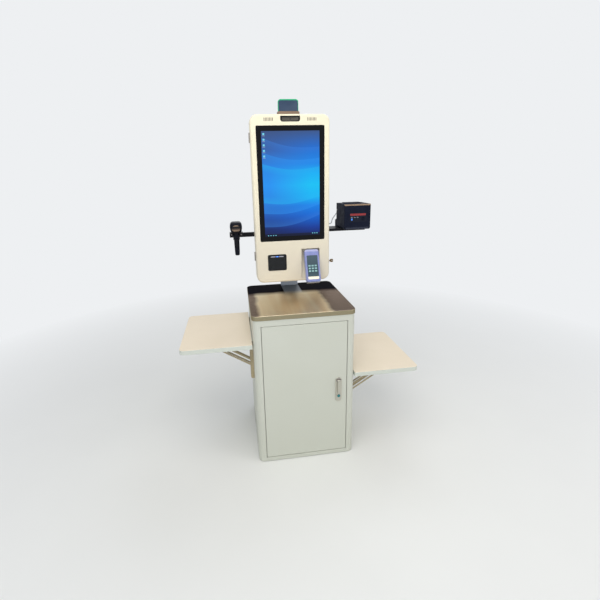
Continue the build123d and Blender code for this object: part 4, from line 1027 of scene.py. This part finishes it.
# The printer's front: a red strip, a lamp and two marks on a smooth label, and trims.
printerFront = {
    "stripLow": (-41.8, 1237.2), "stripHigh": (45.8, 1248.8), "stripSink": 0.3 * mm,
    "labelLow": (-45.5, 1203), "labelHigh": (52.5, 1235.6), "labelThickness": 0.35 * mm,
    "lampAt": (-32.5, 1217.5), "lampHalf": (4.2, 5.6),
    "marks": ((-32.5, 1228.6), (-16.5, 1228.6), (-0.5, 1228.6)), "markHalf": (5.0, 1.4),
    "slots": ((-16.5, 1220.6), (-0.5, 1220.6)), "slotHalf": (3.4, 1.3),
    "skirtLow": (-66, 1164.5), "skirtHigh": (63, 1174.5),
    "ringRadius": 9.2 * mm,
}


def onFront(name, offset, half, y0, y1):
    # a small plate on the printer's front, at `offset` from its middle line, in millimetres
    low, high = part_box("printer_body")
    middleX = (low.x + high.x) / 2
    return startCube(
        name,
        (middleX + (offset[0] - half[0]) * mm, y0, (offset[1] - half[1]) * mm),
        (middleX + (offset[0] + half[0]) * mm, y1, (offset[1] + half[1]) * mm),
    )


def plateBetween(name, low2, high2, y0, y1):
    middle = [(a + b) / 2 for a, b in zip(low2, high2)]
    half = [(b - a) / 2 for a, b in zip(low2, high2)]
    return onFront(name, middle, half, y0, y1)


def makePrinterFront():
    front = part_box("printer_body")[0].y
    buttonLow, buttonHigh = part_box("feed_button")
    buttonMiddle = (buttonLow + buttonHigh) / 2
    buttonRadius = (buttonHigh.x - buttonLow.x) / 2
    strip = plateBetween(
        "redStrip", printerFront["stripLow"], printerFront["stripHigh"],
        front + printerFront["stripSink"], front + 1.15 * mm,
    )
    roundEdges(strip, ahead, 1.5 * mm)
    sinkFace(strip, ahead, 0.8 * mm, 0.15 * mm)
    finishPiece(strip, "root", finishes["redStripPaintedGlow"], 0.15 * mm)

    thick = printerFront["labelThickness"]
    label = plateBetween(
        "controlLabel", printerFront["labelLow"], printerFront["labelHigh"],
        front - thick, front + 0.1 * mm,
    )
    roundEdges(label, ahead, 3 * mm)
    hole = startDisc("hole", buttonMiddle, buttonRadius + 0.35 * mm, 0.02, ahead)
    cutAway(label, hole)
    finishPiece(label, "root", finishes["labelFilm"], 0)
    ring = startDisc(
        "feedRing", (buttonMiddle.x, front - 0.3 * mm, buttonMiddle.z),
        printerFront["ringRadius"], 0.8 * mm, ahead,
    )
    hole = startDisc("hole", buttonMiddle, buttonRadius + 0.35 * mm, 0.02, ahead)
    cutAway(ring, hole)
    finishPiece(ring, "root", finishes["glossBlack"], 0.25 * mm)

    lamp = onFront(
        "statusLamp", printerFront["lampAt"], printerFront["lampHalf"], front - 0.75 * mm, front,
    )
    roundEdges(lamp, ahead, 2.4 * mm)
    finishPiece(lamp, "root", finishes["blueLamp"], 0.3 * mm)
    for count, at in enumerate(printerFront["marks"]):
        mark = onFront(
            f"printedMark{count + 1}", at, printerFront["markHalf"],
            front - 0.45 * mm, front - 0.3 * mm,
        )
        roundEdges(mark, ahead, 1.2 * mm, None, 4)
        finishPiece(mark, "root", finishes["paleInk"], 0)
    for count, at in enumerate(printerFront["slots"]):
        lens = onFront(
            f"darkLamp{count + 1}", at, printerFront["slotHalf"], front - 0.7 * mm, front,
        )
        roundEdges(lens, ahead, 1.2 * mm, None, 4)
        finishPiece(lens, "root", finishes["lensGlass"], 0.2 * mm)
    skirt = plateBetween(
        "printerSkirt", printerFront["skirtLow"], printerFront["skirtHigh"],
        front - 0.9 * mm, front + 0.2 * mm,
    )
    roundEdges(skirt, ahead, 4 * mm, lambda at: at.z < 1.16)
    finishPiece(skirt, "root", finishes["navySkirt"], 0.35 * mm)


finishes = {}


def makeFinishes():
    finishes["glossBlack"] = mouldedPlastic(
        "polishedAbsBlack", "#0b0d16", "#12151f", 0.4, 0.8, 0.1, 0.08,
    )
    finishes["greyFace"] = mouldedPlastic(
        "smokedAcrylicGrey", "#44413c", "#4d4a44", 0.36, 0.5, 0.08, 0.3,
    )
    finishes["brownMesh"] = mouldedPlastic(
        "wovenMesh", "#4a4038", "#5a4e44", 0.7, 0.35, 0.5, 0.2,
    )
    finishes["slateFace"] = mouldedPlastic(
        "slatePolycarbonateFace", "#32435c", "#394a63", 0.38, 0.6, 0.1, 0.2,
    )
    finishes["lensGlass"] = glossPlastic("lensGlass", "#07080c", 0.07)
    # the red strip is no lamp: its faint glow is painted light
    finishes["redStripPaintedGlow"] = glowing("redStripPaintedGlow", "#74151b", "#8a181f", 0.08, 0.3)
    finishes["labelFilm"] = mouldedPlastic(
        "polyesterFilm", "#171b28", "#1b1f2d", 0.4, 0.4, 0.06, 0.1,
    )
    finishes["blueLamp"] = glowing("blueLampLens", "#2f66b4", "#3c7bd8", 0.35, 0.2)
    finishes["paleInk"] = mouldedPlastic("screenPrintedInk", "#8d8f98", "#9b9da5", 0.5)
    finishes["navySkirt"] = mouldedPlastic(
        "texturedAbsSlate", "#232837", "#292e3e", 0.36, 0.6, 0.2, 0.25,
    )


def glowing(name, colour, glow, strength, roughness):
    # a moulded lens over a small lamp: coloured right through, and lit from behind; the red strip has
    # no lamp, so its glow is painted light
    material, shader, place = newMaterial(name, colour, roughness, **{
        "Coat Weight": 0.3, "Emission Color": hexColour(glow), "Emission Strength": strength,
    })
    cloud = grain(material, place, 6 * mm, 2)
    paint(material, shader, mixColours(material, cloud, colour, glow))
    surface(material, shader, cloud, 0.04, 0.1 * mm, 0.4 * mm)
    return material


def lightBar(middleX):
    # a frosted light guide: silver grey, and blue where its lamp sits at the middle
    material, shader, place = newMaterial("frostedLightGuide", "#c9ccd2", 0.3)
    along = axesOf(material, place)["X"]
    off = calculate(material, "ABSOLUTE", calculate(material, "SUBTRACT", along, middleX), 0)
    colour = ramp(material, calculate(material, "DIVIDE", off, scanLight["halfLength"]), (
        (0.0, "#6fb6ff"), (0.10, "#3f78f0"), (0.22, "#2c3a8c"), (0.34, "#77798a"),
        (0.8, "#8d8f98"), (1.0, "#4c4e56"),
    ), "LINEAR")
    paint(material, shader, colour)
    link(material, colour, shader, "Emission Color")
    shader.inputs["Emission Strength"].default_value = 0.6
    surface(material, shader, grain(material, place, 1 * mm), 0.05, 0.1 * mm)
    return material


makeFinishes()
makeScanner()
makeCameraFace()
makeBeaconFace()
makeGrilles()
makeLidCatch()
makeScanLight()
makePrinterFront()
print("new pieces made")


# A plain pale studio: a floor and four broad soft lamps.
studio = {
    "floor": 60.0,
    "floorColour": "#e9ebea",
    "world": "#eef0f2",
    "worldStrength": 0.5,
    "fadeFrom": 0.9, "fadeTo": 3.2,  # the floor melts into the background over these distances
    "lamps": (
        # name, place, aim, size, watts, colour
        ("overheadLamp", (-0.5, -1.3, 3.3), (0, 0, 1.2), 2.4, 44, "#fffaf2"),
        ("frontLamp", (-1.1, -3.2, 1.7), (0, 0, 0.9), 2.2, 30, "#fafbff"),
        ("sideLamp", (2.6, -1.6, 1.9), (0, 0, 1.0), 1.8, 24, "#fffaf4"),
        ("backLamp", (1.0, 2.0, 3.8), (0, 0, 1.0), 2.0, 26, "#f8faff"),
    ),
}


def seenDirectly(owner):
    # 1 for rays from the camera and for those that shiny and clear surfaces send on
    rays = addNode(owner, "ShaderNodeLightPath")
    seen = calculate(owner, "MAXIMUM", rays.outputs["Is Camera Ray"], rays.outputs["Is Glossy Ray"])
    return calculate(owner, "MAXIMUM", seen, rays.outputs["Is Transmission Ray"])


def makeStudio():
    selectNone()
    bpy.ops.mesh.primitive_plane_add(size=studio["floor"])
    floor = bpy.context.object
    floor.name = "studioFloor"
    material, shader, place = newMaterial("paintedFloor", studio["floorColour"], 0.6)
    cloud = grain(material, place, 0.5, 3)
    paint(material, shader, mixColours(material, cloud, studio["floorColour"], "#e3e5e4"))
    surface(material, shader, grain(material, place, 3 * mm), 0.03, 0.2 * mm)
    backdrop = addNode(material, "ShaderNodeEmission", values={
        "Color": hexColour(studio["world"]), "Strength": 1.0,
    })
    away = addNode(material, "ShaderNodeVectorMath", settings={"operation": "LENGTH"},
                   links={0: place})
    fade = spread(material, away.outputs["Value"], 0, 1, studio["fadeFrom"], studio["fadeTo"])
    fade = times(material, fade, seenDirectly(material))
    mix = addNode(material, "ShaderNodeMixShader",
                  links={0: fade, 1: shader.outputs[0], 2: backdrop.outputs[0]})
    output = next(n for n in material.node_tree.nodes if n.type == "OUTPUT_MATERIAL")
    material.node_tree.links.new(mix.outputs[0], output.inputs["Surface"])
    floor.data.materials.append(material)

    world = bpy.data.worlds.new("studioWorld")
    bpy.context.scene.world = world
    world.use_nodes = True
    tree = world.node_tree
    tree.nodes.clear()
    strength = spread(world, seenDirectly(world), studio["worldStrength"], 1.0, 0, 1)
    sky = addNode(
        world, "ShaderNodeBackground", values={"Color": hexColour(studio["world"])},
        links={"Strength": strength},
    )
    addNode(world, "ShaderNodeOutputWorld", links={"Surface": sky.outputs[0]})

    for name, place, aim, size, watts, colour in studio["lamps"]:
        lamp = bpy.data.lights.new(name, "AREA")
        lamp.shape = "SQUARE"
        lamp.size = size
        lamp.energy = watts
        lamp.color = hexColour(colour)[:3]
        holder = bpy.data.objects.new(name, lamp)
        holder.location = place
        towards = Vector(aim) - Vector(place)
        holder.rotation_euler = towards.to_track_quat("-Z", "Y").to_euler()
        bpy.context.scene.collection.objects.link(holder)
    bpy.context.scene.view_settings.view_transform = "Standard"


makeStudio()
print("studio made")

bpy.context.view_layer.update()
